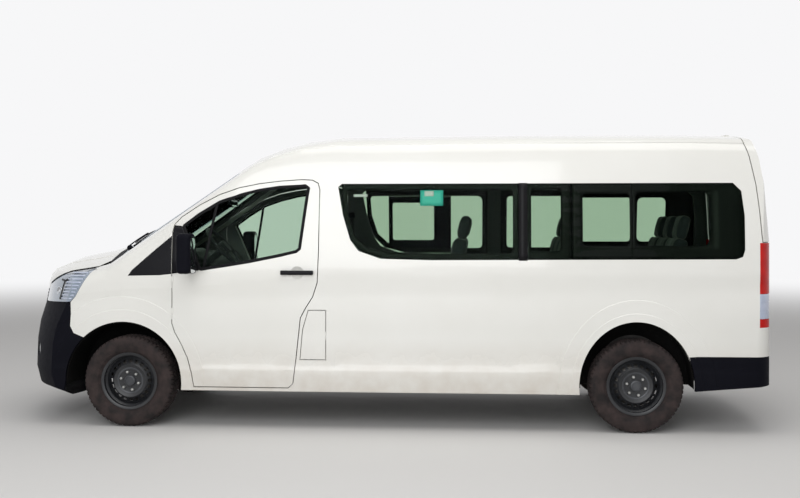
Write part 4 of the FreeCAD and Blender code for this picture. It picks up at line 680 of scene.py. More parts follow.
def nut_ring(face, out_way, count=6, start=0.25):
    """Points and faces of the nuts, evenly spread round the middle of a wheel's face."""
    x, y, z = face
    nuts = [revolved(nut, nut_sides, (x + nut_circle * math.cos(turn), y, z + nut_circle * math.sin(turn)),
                     out_way) for turn in np.arange(count) * math.pi / 3 + start]
    sides = grid_faces(nut_sides, len(nut), True)
    faces = sides[None] + np.arange(count)[:, None, None] * nut_sides * len(nut)
    return np.concatenate(nuts).reshape(-1, 3), faces.reshape(-1, 4)


for end, axle_x, brake, brake_inset in (("front", 1.9475, dust_plate, 0.058),
                                        ("rear", -1.9125, brake_drum, 0.086)):
    for side, way in (("left", 1), ("right", -1)):
        mark, out_way = "%s_%s" % (end, side), (0, way, 0)
        wheel, carrier = "wheel_" + mark, "knuckle_" + side if end == "front" else "body"
        face = (axle_x, way * (half_track + disc_face), tyre_radius)
        surface("wheel_tyre_" + mark, tyre_grid((axle_x, way * half_track, tyre_radius)), tyre_rubber, wheel,
                "rubber_tyre", (True, True), sharp=30.0, stands_for=("tyre_" + mark,))
        dressed("rim_" + mark, "wheel_rim_" + mark, black_steel, "black_steel")
        turned_piece("wheel_cap_" + mark, hub_cap, 40, face, out_way, worn_steel, wheel, "black_steel")
        turned_piece("wheel_ring_" + mark, centre_ring, 72, face, out_way, worn_steel, wheel, "black_steel",
                     loop=True)
        nuts = new_piece("wheel_nuts_" + mark, *nut_ring(face, out_way), bright_zinc, 30.0)
        place_on(nuts, wheel, "cast_metal")
        brake_place = (axle_x, way * (half_track - brake_inset), tyre_radius)
        turned_piece("brake_" + mark, brake, 64, brake_place, out_way, cast_metal, carrier, "cast_metal")


# Mirrors: a deep black shell on a short arm, with a silvered pane behind it and a small wide-angle pane
# below, each in a moulded frame.
def silvered():
    """Silvered glass, faintly uneven."""
    material, tree, shader = new_material("mirror_silver")
    haze = noise(tree, 20.0)
    two_tone(tree, shader, haze, (0.60, 0.63, 0.66), (0.68, 0.70, 0.72))
    roughen(tree, shader, haze, 0.02, 0.05)
    feed(tree, shader, Metallic=1.0)
    return material


def domed_pane(half_width, half_height, dome, rings=10, count=48, power=4.0):
    """Grid over a rounded rectangle: a superellipse scaled from nothing to full size, raised in the middle
    by the dome times one less the square of the scale. Columns: across, up, out."""
    turn = np.linspace(0, 2 * math.pi, count, endpoint=False)[None]
    scale = np.linspace(0.001, 1, rings)[:, None]
    across = np.sign(np.cos(turn)) * np.abs(np.cos(turn)) ** (2 / power) * half_width * scale
    up = np.sign(np.sin(turn)) * np.abs(np.sin(turn)) ** (2 / power) * half_height * scale
    return across, up, dome * (1 - scale ** 2) + 0 * across


mirror_silver = silvered()
pane_x, mirror_y, half_width, dome = 1.3868, 1.130, 0.066, 0.0012
# the frame's section: X, and size against the pane
frame_section = ((1.3885, 1.09), (1.3850, 1.08), (1.3850, 1.01), (1.3885, 1.00))
for side, way in (("left", 1), ("right", -1)):
    for name, half_height, mirror_z in (("main", 0.092, 1.362), ("wide", 0.030, 1.224)):
        across, up, out = domed_pane(half_width, half_height, dome)
        pane = np.stack([pane_x - out, way * mirror_y + across, mirror_z + up], -1)
        surface("mirror_pane_%s_%s" % (name, side), pane, mirror_silver, "door_" + side, "clear_glass",
                (False, True), ends=True, turn=True)
        rim = np.stack([np.stack([x + 0 * up[-1], way * mirror_y + size * across[-1],
                                  mirror_z + size * up[-1]], -1) for x, size in frame_section])
        surface("mirror_frame_%s_%s" % (name, side), rim, gloss_black, "door_" + side, "dark_plastic",
                (True, True), turn=True)


# Screen and tailgate glass: both are bonded over a fired black border. Two wipers park along the foot of the
# screen and one on the tailgate, each a black arm on a round pivot with a rubber blade.
def ribbon(path, width, place, lift, columns=5, bulge=0.0):
    """Grid of a strip along a path of two surface coordinates: each row crosses the path square to it, and
    is set on the surface by the place function, lifted more in its middle by the bulge."""
    path = np.array(path, float)
    along = np.gradient(path, axis=0)
    along /= np.linalg.norm(along, axis=1)[:, None]
    across = np.linspace(-0.5, 0.5, columns)
    flat = path[:, None] + width * across[None, :, None] * np.stack([-along[:, 1], along[:, 0]], 1)[:, None]
    return place(flat[..., 0], flat[..., 1], lift + bulge * (1 - 4 * across ** 2)[None])


def eased(corners, count=24):
    """A smooth path through a few places: straight runs between them, then each place averaged with its
    neighbours until the bends are soft."""
    corners = np.array(corners, float)
    part = np.linspace(0, len(corners) - 1, count)
    path = np.stack([np.interp(part, np.arange(len(corners)), column) for column in corners.T], 1)
    for turn in range(3):
        path[1:-1] = (path[:-2] + 2 * path[1:-1] + path[2:]) / 4
    return path


def facing(node, way):
    """Corners of a node's triangles that face within 60 degrees of a direction."""
    points, triangles = welded(node)
    ways, sizes = facets(points, triangles)[1:]
    return points[np.unique(triangles[ways @ np.array(way) > 0.5 * sizes])]


screen_x, screen_y, screen_z = facing("windscreen", (0.6, 0, 0.8)).T
screen_height = fitted(screen_x, screen_y, screen_z)
gate_x, gate_y, gate_z = facing("tailgate_glass", (-0.98, 0, 0.2)).T
gate_depth = fitted(gate_z, gate_y, gate_x)
screen_out, border_lift = (0.58, 0, 0.81), -0.0058


def on_screen(x, y, lift):
    """Places on the windscreen, lifted square to its slope."""
    return np.stack([x + screen_out[0] * lift, y, screen_height(x, y) + screen_out[2] * lift], -1)


def on_gate(z, y, lift):
    """Places on the tailgate's glass, lifted rearwards."""
    return np.stack([gate_depth(z, y) - lift + 0 * z, y, z], -1)


def trapeze(first, half_first, radius_first, second, half_second, radius_second, **points):
    """A rounded outline, even about the middle, between two level edges of a pane."""
    return rounded([(first, -half_first, radius_first), (first, half_first, radius_first),
                    (second, half_second, radius_second), (second, -half_second, radius_second)], **points)


screen_outer = trapeze(2.049, 0.800, 0.02, 1.142, 0.712, 0.02, bend=8, run=20)
screen_inner = trapeze(1.962, 0.725, 0.05, 1.190, 0.655, 0.06, bend=8, run=20)
surface("screen_border", on_screen(*between(screen_outer, screen_inner, 6), border_lift), fired_black, "body",
        "privacy_glass", (False, True), wall=0.0006)
gate_outer = trapeze(1.332, 0.688, 0.004, 1.958, 0.650, 0.004, bend=6, run=16)
gate_inner = trapeze(1.392, 0.640, 0.04, 1.905, 0.602, 0.05, bend=6, run=16)
surface("gate_border", on_gate(*between(gate_outer, gate_inner, 6), border_lift), fired_black, "tailgate",
        "privacy_glass", (False, True), wall=0.0006, turn=True)


def wiper_strip(name, path, width, lift, bulge, wall, material=black_plastic, rear=False):
    """A strip of a wiper along a path on the screen, or on the tailgate's glass."""
    place, body = (on_gate, "tailgate") if rear else (on_screen, "body")
    surface(name, ribbon(path, width, place, lift, bulge=bulge), material, body, "dark_plastic", wall=wall,
            turn=not rear)


pivot = [(-0.006, 0.0), (-0.006, 0.022), (0.010, 0.022), (0.018, 0.016), (0.022, 0.008), (0.022, 0.0)]
for index, (pivot_y, start_y, end_y) in enumerate(((0.60, 0.66, 0.06), (-0.02, 0.02, -0.60))):
    middle_y = (start_y + end_y) / 2
    blade = eased([(1.985, start_y), (1.962, middle_y), (1.935, end_y)], 40)
    wiper_strip("wiper_blade_%d" % index, blade, 0.010, 0.006, 0.0, 0.005, rubber)
    wiper_strip("wiper_carrier_%d" % index, blade[3:-3], 0.014, 0.013, 0.004, 0.006)
    arm = eased([(2.044, pivot_y), (2.015, pivot_y - 0.07), (1.980, middle_y + 0.05), (1.963, middle_y)], 30)
    wiper_strip("wiper_arm_%d" % index, arm, 0.020, 0.022, 0.004, 0.007)
    turned_piece("wiper_pivot_%d" % index, pivot, 24, on_screen(2.040, pivot_y, 0.004), screen_out,
                 black_plastic, "body", "dark_plastic")
gate_blade = eased([(1.462, 0.36), (1.470, 0.10), (1.474, -0.16)], 30)
wiper_strip("rear_wiper_blade", gate_blade, 0.012, 0.0030, 0.0, 0.0025, rubber, rear=True)
gate_arm = eased([(1.442, -0.02), (1.446, 0.05), (1.462, 0.10)], 20)
wiper_strip("rear_wiper_arm", gate_arm, 0.022, 0.0040, 0.0010, 0.0015, rear=True)
low_pivot = [(reach * 0.3, radius) for reach, radius in pivot]
turned_piece("rear_wiper_pivot", low_pivot, 24, on_gate(1.440, -0.02, 0.0), (-1, 0, 0.1), black_plastic,
             "tailgate", "dark_plastic")


# Stickers on the inner face of the left front window: a teal panel with a white corner and a small white
# tab, both left blank.
def film(name, dark, light):
    """Printed film in two close tones with a soft gloss."""
    material, tree, shader = new_material(name)
    tone = noise(tree, 60.0)
    two_tone(tree, shader, tone, dark, light)
    roughen(tree, shader, tone, 0.35, 0.5)
    return material


teal_film = film("teal_film", (0.045, 0.55, 0.46), (0.055, 0.62, 0.52))
white_film = film("white_film", (0.66, 0.67, 0.66), (0.74, 0.75, 0.74))


def on_band(x, z, lift):
    """Places on the side glass, lifted outwards."""
    return np.stack([x, glass_side_y(x, z) + lift, z], -1)


for name, path, width, lift, material in (
        ("teal", [(-0.298, 1.757), (-0.471, 1.757)], 0.118, -0.0052, teal_film),
        ("white", [(-0.330, 1.790), (-0.400, 1.790)], 0.040, -0.0051, white_film),
        ("tab", [(0.209, 1.776), (0.103, 1.776)], 0.020, -0.0051, white_film)):
    surface("sticker_" + name, ribbon(eased(path, 8), width, on_band, lift), material, "body",
            "privacy_glass", wall=0.0003, turn=True)


# Headlamps: a clear moulded lens over a pale reflector, ribbed behind a black slanted divider, with a
# silvered bowl in front and a black gasket along the bonnet's edge.
def lamp_plastic(name, dark, light, rough=0.08, coat=1.0, shine=0.5):
    """Lamp plastic in two tones under a clear hard coat."""
    material, tree, shader = new_material(name)
    two_tone(tree, shader, noise(tree, 12.0), dark, light)
    roughen(tree, shader, noise(tree, 40.0), rough, rough + 0.06)
    feed(tree, shader, Coat_Weight=coat, Coat_Roughness=0.03, Specular_IOR_Level=shine)
    return material


lamp_clear = lamp_plastic("lamp_clear", (0.235, 0.29, 0.36), (0.30, 0.35, 0.43))
lamp_pale = lamp_plastic("lamp_pale", (0.42, 0.48, 0.62), (0.55, 0.60, 0.74), 0.15)
lamp_silver = metal("lamp_silver", (0.55, 0.57, 0.60), (0.70, 0.72, 0.75), (0.06, 0.12), 1.0, 60.0, 0.0001)
dressed("headlamps", "lamp_headlamps", lamp_clear, "lamp_clear")
lamp_axis = np.array([2.15, 0.40])
lamp_x, lamp_y, lamp_z = facing("headlamps", (0.5, 0.86, 0.0)).T
lamp_far = np.hypot(lamp_x - lamp_axis[0], lamp_y - lamp_axis[1])
lamp_turn = np.arctan2(lamp_y - lamp_axis[1], lamp_x - lamp_axis[0])
outside = (lamp_y > 0.5) & (lamp_far > 0.40)
lamp_reach = fitted(lamp_turn[outside], lamp_z[outside], lamp_far[outside], 5)


def on_lamp(x, z, lift):
    """Places on the headlamp's skin over x and z. The skin's reach from an upright axis is known by angle,
    and the angle for each x is found by repeating x = axis + reach times cosine."""
    angle = 1.0 + 0 * x
    for turn in range(30):
        angle = np.arccos(np.clip((x - lamp_axis[0]) / lamp_reach(angle, z), -0.99, 0.99))
    reach = lamp_reach(angle, z) + lift
    ahead, aside = reach * np.cos(angle), reach * np.sin(angle)
    return np.stack([lamp_axis[0] + ahead, lamp_axis[1] + aside, z + 0 * x], -1)


def lamp_strip(name, left, corners, count, width, lift, material=gloss_black, bulge=0.001):
    """A strip on the skin of the left or the right headlamp, along an eased path through corners."""
    grid = ribbon(eased(corners, count), width, on_lamp, lift, bulge=bulge)
    surface("%s_%s" % (name, "left" if left else "right"), sided(grid, left), material, "body", "lamp_clear",
            wall=0.0015, turn=left)


rib_rear = [(2.395, 0.985), (2.375, 1.010), (2.362, 1.035), (2.349, 1.060), (2.336, 1.085), (2.322, 1.110),
            (2.308, 1.135), (2.294, 1.160), (2.282, 1.183)]
divider = [(2.520, 0.975), (2.500, 1.030), (2.470, 1.115)]
divider_top = [(2.515, 1.128), (2.470, 1.118), (2.425, 1.142)]
gasket = [(2.235, 1.2185), (2.322, 1.2065), (2.465, 1.1835), (2.600, 1.130), (2.690, 1.086)]
# the bowl: distance outwards from the skin, radius
bowl = [(-0.006, 0.0), (-0.006, 0.040), (0.0012, 0.040), (0.0022, 0.037), (0.0006, 0.034), (-0.002, 0.020),
        (-0.001, 0.009), (0.002, 0.006), (0.003, 0.0)]
bowl_angle, bowl_z = math.radians(47), 1.03
for left, way in ((True, 1), (False, -1)):
    for index, (rear_x, z) in enumerate(rib_rear):
        front_x = 2.498 - 0.35 * (z - 0.985)
        lamp_strip("lamp_rib_%d" % index, left, [(rear_x, z), (front_x, z)], 12, 0.011, 0.0004, lamp_pale,
                   0.0025)
    lamp_strip("lamp_divider", left, divider, 16, 0.016, 0.0012)
    lamp_strip("lamp_divider_top", left, divider_top, 16, 0.013, 0.0012)
    lamp_strip("lamp_gasket", left, gasket, 30, 0.007, 0.0008, rubber)
    aim = np.array([math.cos(bowl_angle), math.sin(bowl_angle) * way, 0])
    middle = np.array([lamp_axis[0], lamp_axis[1] * way, bowl_z]) + aim * lamp_reach(bowl_angle, bowl_z)
    turned_piece("lamp_bowl_" + ("left" if left else "right"), bowl, 48, middle, aim, lamp_silver, "body",
                 "lamp_clear")


# Tail lamps: upright red lenses at the rear corners. The panes between two of their grooves are clear, for
# the reversing and turn lights.
def clear_lens(middles, normals, low=0.860, high=1.042):
    """True for triangles between the grooves of the clear lenses."""
    return (middles[:, 2] > low) & (middles[:, 2] < high)


lamp_red = lamp_plastic("lamp_red", (0.46, 0.004, 0.003), (0.62, 0.007, 0.004), 0.12, 0.15, 0.15)
dressed("tail_lamps", "lamp_tail_red", lamp_red, "lamp_red", keep=lambda *face: ~clear_lens(*face))
dressed("tail_lamps", "lamp_tail_clear", lamp_pale, "lamp_clear", keep=clear_lens)


# Wheel arch liners: black moulded plastic that curves over each wheel just inside the steel housing. Each is
# half an ellipse carried across the wheel's width.
def arch_grid(centre_x, half_length, rise, y_inner, low_angle, y_outer=0.925):
    """Half an ellipse about an axle's height, carried from one Y to another, its lip rolled inwards."""
    angle = np.linspace(math.radians(low_angle), math.pi - math.radians(low_angle), 72)[None]
    across = np.array([y_inner, y_inner, y_outer - 0.01, y_outer])[:, None]
    drawn = np.array([0.12, 0.0, 0.0, 0.008])[:, None]
    return np.stack([centre_x - (half_length - drawn) * np.cos(angle), across + 0 * angle,
                     tyre_radius + (rise - drawn) * np.sin(angle)], -1)


liner_plastic = grained_plastic("liner_plastic", (0.004, 0.004, 0.004), (0.008, 0.0075, 0.007), (0.8, 0.95),
                                300.0)
for end, sizes in (("front", (1.9895, 0.4555, 0.4575, 0.486, -4)),
                   ("rear", (-1.9125, 0.4225, 0.4815, 0.696, -2))):
    for side, left in (("left", True), ("right", False)):
        surface("arch_liner_%s_%s" % (end, side), sided(arch_grid(*sizes), left), liner_plastic, "body",
                "dark_plastic", wall=0.0015, turn=left)


# Seats: each place is a stuffed cushion, back and head restraint in dark woven cloth, sewn in channels, on a
# steel frame. The stuffing is blown up once for each form, then fitted to every place.
def stuffed(size, cap, voxel=0.011, pressure=4.0):
    """Points and faces of a stuffed block centred on the origin. The block has rounded edges, is remeshed
    evenly, and is inflated as cloth for 20 frames; no point may move further than the cap."""
    bpy.ops.mesh.primitive_cube_add(size=1)
    block = bpy.context.object
    block.data.transform(Matrix.Diagonal((*(length - 1.2 * cap for length in size), 1)))
    soften = block.modifiers.new("soften", "BEVEL")
    soften.width, soften.segments = 0.030, 4
    even = block.modifiers.new("even", "REMESH")
    even.mode, even.voxel_size = "VOXEL", voxel
    start = bpy.data.meshes.new_from_object(block.evaluated_get(bpy.context.evaluated_depsgraph_get()))
    bpy.data.objects.remove(block)
    form = bpy.data.objects.new("stuffing", start)
    scene.collection.objects.link(form)
    rest = values(start.vertices, "co", 3).reshape(-1, 3)
    cloth = form.modifiers.new("cloth", "CLOTH")
    cloth.settings.use_pressure, cloth.settings.uniform_pressure_force = True, pressure
    cloth.settings.effector_weights.gravity = 0
    for count in range(1, 21):
        scene.frame_set(count)
    moved = form.evaluated_get(bpy.context.evaluated_depsgraph_get()).data
    way = values(moved.vertices, "co", 3).reshape(-1, 3) - rest
    corners = values(start.loops, "vertex_index", kind=int)
    faces = np.split(corners, values(start.polygons, "loop_start", kind=int)[1:])
    scene.frame_set(1)
    bpy.data.objects.remove(form)
    far = np.linalg.norm(way, axis=1)[:, None]
    return rest + way * np.minimum(1, cap / np.maximum(far, 1e-9)), faces


def seam(points, face, cross, line, depth, half):
    """Press a soft groove, bell-shaped across a line, into the side of a block where one coordinate is
    above zero; the line is a place along another coordinate."""
    points[:, face] -= depth * np.exp(-((points[:, cross] - line) / half) ** 2) * (points[:, face] > 0)


def woven_cloth():
    """Dark blue-grey seat cloth: a fine weave of crossing threads, with a soft sheen."""
    material, tree, shader = new_material("seat_cloth")
    tone = noise(tree, 10.0, 5.0)
    two_tone(tree, shader, tone, (0.016, 0.019, 0.026), (0.030, 0.034, 0.043))
    place, threads = add(tree, "TexCoord").outputs["Object"], []
    for way in ("X", "Y", "Z"):
        wave = add(tree, "TexWave", Scale=120.0, Distortion=0.4, Vector=place)
        wave.bands_direction = way
        threads.append(wave.outputs["Fac"])
    weave = joined(tree, "MULTIPLY", joined(tree, "MULTIPLY", threads[0], threads[1]), threads[2])
    emboss(tree, shader, weave, 0.0006)
    roughen(tree, shader, tone, 0.82, 0.95)
    feed(tree, shader, Sheen_Weight=0.25, Sheen_Roughness=0.4)
    return material


seat_cloth = woven_cloth()
seat_steel = metal("seat_steel", (0.02, 0.02, 0.022), (0.035, 0.035, 0.038), (0.35, 0.5), 0.3, 120.0, 0.0002)
place_width, seat_depth, cushion_wall, back_height, lean = 0.440, 0.470, 0.110, 0.640, math.radians(14)
forms = {"cushion": stuffed((seat_depth, place_width, cushion_wall), 0.010),
         "back": stuffed((cushion_wall, place_width, back_height), 0.010),
         "restraint": stuffed((0.090, 0.260, 0.195), 0.008)}
# sewn channels: two along the cushion and the back, one across each
cushion_points, back_points = forms["cushion"][0], forms["back"][0]
for line in (-0.10, 0.10):
    seam(cushion_points, 2, 1, line, 0.007, 0.008)
    seam(back_points, 0, 1, line, 0.007, 0.008)
seam(cushion_points, 2, 0, -0.02, 0.006, 0.009)
seam(back_points, 0, 2, 0.18, 0.006, 0.009)


def leaned(points, rear_x, back_z):
    """Points set off from the seat's rear edge, tipped back about it."""
    x, z = points[:, 0], points[:, 2]
    return np.stack([rear_x + x * math.cos(lean) - z * math.sin(lean), points[:, 1],
                     back_z + x * math.sin(lean) + z * math.cos(lean)], 1)


def rod(name, path, radius, material, slot_name, sides=10):
    """A round rod along a path, closed at both ends: rings square to the path, about a side way that never
    twists."""
    path = np.array(path, float)
    along = np.gradient(path, axis=0)
    along /= np.linalg.norm(along, axis=1)[:, None]
    aside = np.cross(along, np.where(np.abs(along[:, 2:]) > 0.95, (0.0, 1.0, 0.0), (0.0, 0.0, 1.0)))
    aside /= np.linalg.norm(aside, axis=1)[:, None]
    upward = np.cross(aside, along)
    turn = np.linspace(0, 2 * math.pi, sides, endpoint=False)[None, :, None]
    rings = path[:, None] + radius * (np.cos(turn) * aside[:, None] + np.sin(turn) * upward[:, None])
    surface(name, rings, material, "body", slot_name, (False, True), ends=True)


back_x, restraint_rise, place_gap, post_half = -0.035, 0.0775, 0.012, 0.05
floor_top, leg_radius, leg_inset, rail_inset = 0.5655, 0.012, 0.09, 0.05
seat_rows = [("driver_seat", 1.2175, 0.23, 0.48, 0.830, 1), ("front_bench", 1.2175, -0.73, 0.83, 0.830, 2)]
seat_rows += [("rear_seats", 0.0505 - 0.85 * row, -0.64, 1.28, 0.900, 3) for row in range(3)]
for row, (node, front_x, low_y, width, top, places) in enumerate(seat_rows):
    rear_x, high_y, back_z = front_x - seat_depth, low_y + width, top - cushion_wall / 2
    wide = (1, (width / places - place_gap) / place_width, 1)
    for place in range(places):
        middle = low_y + width * (place + 0.5) / places
        restraint = forms["restraint"][0] + (back_x, middle, back_height + restraint_rise)
        seated = {
            "cushion": cushion_points * wide + (front_x - seat_depth / 2, middle, back_z),
            "back": leaned(back_points * wide + (back_x, middle, back_height / 2), rear_x, back_z),
            "restraint": leaned(restraint, rear_x, back_z),
        }
        for part, points in seated.items():
            piece = new_piece("seat_%s_%d_%d" % (part, row, place), points, forms[part][1], seat_cloth, 180.0)
            place_on(piece, "body", "seat_cloth", node)
        for index, aside in enumerate((-post_half, post_half)):
            ends = np.array([(back_x, middle + aside, back_height + z) for z in (-0.05, 0.03)])
            rod("seat_post_%d_%d_%d" % (row, place, index), np.linspace(*leaned(ends, rear_x, back_z), 4),
                0.006, seat_steel, "cast_metal")
    foot, under = floor_top + leg_radius, top - cushion_wall + 0.004
    for index, y in enumerate((low_y + leg_inset, high_y - leg_inset)):
        leg = eased([(front_x - 0.06, y, foot), (front_x - 0.08, y, under - 0.02),
                     (front_x - 0.12, y, under), (rear_x + 0.08, y, under), (rear_x + 0.05, y, under - 0.03),
                     (rear_x + 0.05, y, foot), (front_x - 0.06, y, foot)], 60)
        rod("seat_leg_%d_%d" % (row, index), leg, leg_radius, seat_steel, "black_steel")
    rail = np.linspace((front_x - 0.10, low_y + rail_inset, under),
                       (front_x - 0.10, high_y - rail_inset, under), 12)
    for index, back in enumerate((0.0, seat_depth - 0.17)):
        rod("seat_rail_%d_%d" % (row, index), rail - (back, 0, 0), 0.011, seat_steel, "black_steel")


# Cabin fittings: an inner mirror on a stalk, cloth-covered sun visors, belts of black webbing that hang
# from a loop to a reel, and the inner frame of the sliding pane in the sliding door's window.
def pad(name, middle, across_way, up_way, half_width, half_height, thickness, material, body, slot_name,
        power=8.0, edge=0.25):
    """A closed slab with a softened rim: a superellipse stacked at a few depths, drawn in at both faces."""
    across_way, up_way = np.array(across_way, float), np.array(up_way, float)
    out_way = np.cross(across_way, up_way)
    across, up = (line[-1] for line in domed_pane(half_width, half_height, 0.0, 2, 64, power)[:2])
    rows = []
    for depth, scale in ((-0.5, 0.001), (-0.5, 1 - edge * 0.5), (-0.47, 1 - edge * 0.2), (-0.25, 1),
                         (0.25, 1), (0.47, 1 - edge * 0.2), (0.5, 1 - edge * 0.5), (0.5, 0.001)):
        drawn = (1 - scale) * min(half_width, half_height)
        wide, high = (1 - drawn / half_width, 1 - drawn / half_height) if scale > 0.01 else (scale, scale)
        rows.append(np.array(middle) + (across * wide)[:, None] * across_way + (up * high)[:, None] * up_way
                    + depth * thickness * out_way)
    surface(name, np.stack(rows), material, body, slot_name, (False, True), ends=True, turn=True)


belt_webbing = film("belt_webbing", (0.010, 0.010, 0.011), (0.016, 0.016, 0.018))
visor_cloth = grained_plastic("visor_cloth", (0.17, 0.17, 0.165), (0.21, 0.21, 0.20), (0.8, 0.95), 1200.0)
along_y, upwards, forwards = (0.0, 1.0, 0.0), (0.0, 0.0, 1.0), (1.0, 0.0, 0.0)
inner_mirror_y, inner_mirror_tilt = 0.04, 0.10
pad("inner_mirror_shell", (1.335, inner_mirror_y, 1.735), along_y, (inner_mirror_tilt, 0, 0.995), 0.125,
    0.034, 0.026, black_plastic, "body", "dark_plastic", 3.5)
across, up, out = domed_pane(0.118, 0.029, 0.0008, power=3.5)
inner_pane = np.stack([1.3210 - out + inner_mirror_tilt * up, inner_mirror_y + across, 1.7365 + up], -1)
surface("inner_mirror_pane", inner_pane, mirror_silver, "body", "clear_glass", (False, True), ends=True,
        turn=True)
stalk = eased([(1.345, inner_mirror_y, 1.748), (1.375, 0.035, 1.80), (1.372, 0.02, 1.872)], 16)
rod("inner_mirror_stalk", stalk, 0.008, black_plastic, "dark_plastic")
belt_x, belt_y, belt_half, loop_x, loop_z, reel_z = 0.435, 0.868, 0.023, 0.432, 1.635, 0.70
for side, way in (("left", 1), ("right", -1)):
    pad("sun_visor_" + side, (1.075, way * 0.405, 1.905), along_y, (0.93, 0, -0.37), 0.215, 0.082, 0.018,
        visor_cloth, "body", "seat_cloth", 7.0, 0.5)
    belt_path = eased([(belt_x, way * belt_y, 0.66), (belt_x, way * belt_y, 1.10),
                       (loop_x, way * 0.862, 1.62)], 20)
    belt_rows = belt_path[:, None] + np.linspace(-belt_half, belt_half, 3)[None, :, None] * np.array(forwards)
    surface("belt_webbing_" + side, belt_rows, belt_webbing, "body", "seat_cloth", wall=0.0015, turn=way > 0)
    pad("belt_loop_" + side, (loop_x, way * belt_y, loop_z), forwards, upwards, 0.032, 0.036, 0.014,
        black_plastic, "body", "dark_plastic", 3.0, 0.4)
    pad("belt_reel_" + side, (belt_x, way * belt_y, reel_z), forwards, upwards, 0.048, 0.055, 0.018,
        black_plastic, "body", "dark_plastic", 5.0, 0.3)
pane_frame = [(-0.487, 1.340, 0.004), (-0.487, 1.8165, 0.004), (0.089, 1.8165, 0.004), (0.089, 1.340, 0.004)]
pane_view = [(-0.330, 1.412, 0.02), (-0.330, 1.757, 0.02), (0.052, 1.757, 0.02), (0.052, 1.412, 0.02)]
glass_border("sliding_pane_frame", pane_frame, pane_view, False, black_plastic, "dark_plastic", 0.012, 0.006)


# Back of the bus: a blank registration plate held by two screws, two small lamps over it, the lift handle
# in its well and a high brake lamp, all set on the tailgate's own skin.
gate_skin_x, gate_skin_y, gate_skin_z = facing("tailgate", (-1.0, 0, 0.1)).T
outermost = (gate_skin_x < -2.70) & (np.abs(gate_skin_y) < 0.60)


def skin_of(low, high, degree=3):
    """The tailgate's outer skin between two heights: X over height and Y, from its rearmost corners."""
    picked = outermost & (gate_skin_z > low) & (gate_skin_z < high)
    z, y, x = gate_skin_z[picked], gate_skin_y[picked], gate_skin_x[picked]
    near = x < fitted(z, y, x, degree)(z, y) + 0.004
    return fitted(z[near], y[near], x[near], degree)


lower_skin, upper_skin = skin_of(0.62, 1.20), skin_of(1.97, 2.24)
plate_white = film("plate_white", (0.62, 0.62, 0.60), (0.68, 0.68, 0.66))
plate_z, handle_z, plate_lamp_z, brake_lamp_z = 0.760, 0.930, 0.880, 2.105
plate_x, handle_x = lower_skin(plate_z, 0.0), lower_skin(0.928, 0.0)
brake_lamp_x = upper_skin(brake_lamp_z, 0.0)
pad("rear_plate", (plate_x - 0.0004, 0.0, plate_z), along_y, upwards, 0.220, 0.070, 0.0020, plate_white,
    "tailgate", "body_paint", 18.0, 0.02)
screw = [(-0.0002, 0.0), (-0.0002, 0.006), (0.0004, 0.0052), (0.0006, 0.0)]
for index, y in enumerate((-0.14, 0.14)):
    turned_piece("plate_screw_%d" % index, screw, 20, (plate_x - 0.0013, y, plate_z), (-1.0, 0.0, 0.0),
                 bright_zinc, "tailgate", "cast_metal")
pad("gate_handle", (handle_x + 0.0075, 0.0, handle_z), along_y, upwards, 0.118, 0.013, 0.012, gloss_black,
    "tailgate", "dark_plastic", 6.0, 0.3)
for index, y in enumerate((-0.09, 0.09)):
    pad("plate_lamp_%d" % index, (handle_x + 0.0008, y, plate_lamp_z), along_y, upwards, 0.026, 0.009, 0.004,
        lamp_pale, "tailgate", "lamp_clear", 5.0, 0.3)
pad("high_brake_lamp", (brake_lamp_x + 0.0005, 0.0, brake_lamp_z), along_y, (0.25, 0.0, 0.968), 0.150, 0.013,
    0.010, lamp_red, "tailgate", "lamp_red", 8.0, 0.3)


# Front details: fog lamps with gloss black rings in their wells, and a blank plate on a black holder that
# leans with the bumper's skin.
fog_lamp = [(-0.004, 0.0), (-0.004, 0.046), (0.004, 0.048), (0.0055, 0.046), (0.004, 0.042), (0.0065, 0.036),
            (0.0095, 0.018), (0.0105, 0.0)]
fog_ring = [(-0.002, 0.0465), (0.008, 0.048), (0.010, 0.052), (0.008, 0.0565), (-0.002, 0.057)]
fog_aim, fog_x, fog_y, fog_z = math.radians(30), 2.7625, 0.640, 0.560
for side, way in (("left", 1), ("right", -1)):
    place, axis = (fog_x, way * fog_y, fog_z), (math.cos(fog_aim), way * math.sin(fog_aim), 0.0)
    turned_piece("fog_lamp_" + side, fog_lamp, 48, place, axis, lamp_silver, "body", "lamp_clear")
    turned_piece("fog_ring_" + side, fog_ring, 48, place, axis, gloss_black, "body", "dark_plastic",
                 loop=True)
nose_x, nose_y, nose_z = facing("front_bumper", (1.0, 0, 0)).T
nose = (nose_x > 2.90) & (np.abs(nose_y) < 0.30) & (nose_z > 0.40) & (nose_z < 0.66)
nose_skin = fitted(nose_z[nose], nose_y[nose], nose_x[nose], 3)
foot_x, head_x, plate_height = nose_skin(0.468, 0.0), nose_skin(0.578, 0.0), 0.110
plate_rise = np.array([head_x - foot_x, 0.0, plate_height])
plate_rise /= np.linalg.norm(plate_rise)
plate_front = np.array([plate_rise[2], 0.0, -plate_rise[0]])
plate_centre = np.array([(foot_x + head_x) / 2, 0.0, 0.523])
pad("plate_holder", plate_centre - 0.0062 * plate_front, along_y, plate_rise, 0.178, 0.061, 0.012,
    black_plastic, "body", "dark_plastic", 14.0, 0.1)
pad("front_plate", plate_centre + 0.0012 * plate_front, along_y, plate_rise, 0.170, 0.055, 0.0022,
    plate_white, "body", "body_paint", 18.0, 0.02)


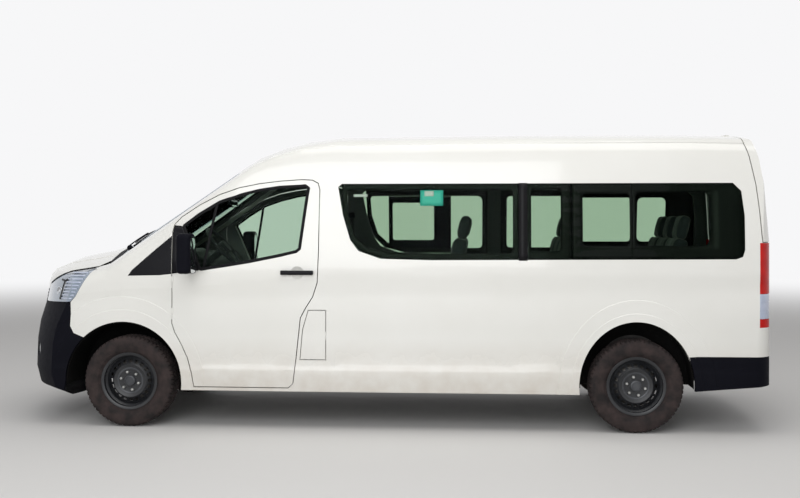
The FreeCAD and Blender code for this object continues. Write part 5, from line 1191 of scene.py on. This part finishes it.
# Right flank and rear bumper: a black runner lies in the groove that guides the sliding door, and two red
# reflectors are pressed on the bumper.
groove = outer_points("side_panel_right")
groove = groove[(groove[:, 1] > 0.93) & (groove[:, 0] < -0.905) & (np.abs(groove[:, 2] - 1.209) < 0.0145)]
groove_x, column = np.unique(np.round(groove[:, 0], 3), return_inverse=True)
groove_floor = np.ones(len(groove_x))
np.minimum.at(groove_floor, column.ravel(), groove[:, 1])
rail = strip_grid(-2.680, -0.920, 1.200, 1.218, lambda x, z: np.interp(x, groove_x, groove_floor), 0.008, 40,
                  4)
surface("slide_rail", sided(rail, False), black_plastic, "body", "dark_plastic", wall=0.003)
bumper_points, bumper_triangles = welded("rear_bumper")
bumper_skin = BVHTree.FromPolygons(bumper_points.tolist(), bumper_triangles.tolist())
reflector_y, reflector_z, behind = 0.66, 0.440, -4.0
for side, way in (("left", 1), ("right", -1)):
    spot, slope = bumper_skin.ray_cast((behind, way * reflector_y, reflector_z), forwards)[:2]
    level = np.cross(upwards, slope)
    pad("rear_reflector_" + side, np.array(spot) + 0.0004 * np.array(slope), level / np.linalg.norm(level),
        upwards, 0.048, 0.016, 0.0030, lamp_red, "body", "lamp_red", 6.0, 0.3)


# Running gear under the floor: painted and dusty steel frames, axle, springs, tank and floor pan, bare cast
# knuckles and engine, a heat-stained exhaust, and the spare wheel under the boot.
underbody = metal("underbody", (0.016, 0.016, 0.016), (0.045, 0.040, 0.035), (0.6, 0.85), 0.0)
inner_steel = metal("inner_steel", (0.30, 0.30, 0.29), (0.38, 0.38, 0.36), (0.4, 0.6), 0.0)
exhaust_steel = metal("exhaust_steel", (0.18, 0.14, 0.11), (0.34, 0.30, 0.26), (0.35, 0.6), 0.8)
for node in ("front_subframe", "rear_axle", "leaf_springs", "fuel_tank", "floor_pan"):
    dressed(node, "under_" + node, underbody, "underbody")
for node in ("knuckle_left", "knuckle_right", "engine"):
    dressed(node, "cast_" + node, cast_metal, "cast_metal")
dressed("exhaust", "under_exhaust", exhaust_steel, "exhaust_steel")
dressed("spare_wheel", "under_spare_wheel", tyre_rubber, "rubber_tyre")


# Engine bay: pale painted steel inside, black protective coating on the sides that face the wheels. One solid
# is dressed in two pieces, parted at its inner walls.
def wheel_side(middles, normals, line=0.452):
    """True for triangles of the bay that lie outside its inner walls."""
    return np.abs(middles[:, 1]) > line


dressed("engine_bay", "inner_engine_bay", inner_steel, "inner_steel", keep=lambda *face: ~wheel_side(*face))
dressed("engine_bay", "coated_engine_bay", liner_plastic, "underbody", keep=wheel_side)


# Dashboard and steering wheel: dark grained plastic moulded in one piece each. The wheel turns on its column
# with the front wheels.
cabin_plastic = grained_plastic("cabin_plastic", (0.03, 0.032, 0.035), (0.045, 0.047, 0.05))
for node in ("dashboard", "steering_wheel"):
    dressed(node, "cabin_" + node, cabin_plastic, "cabin_plastic")
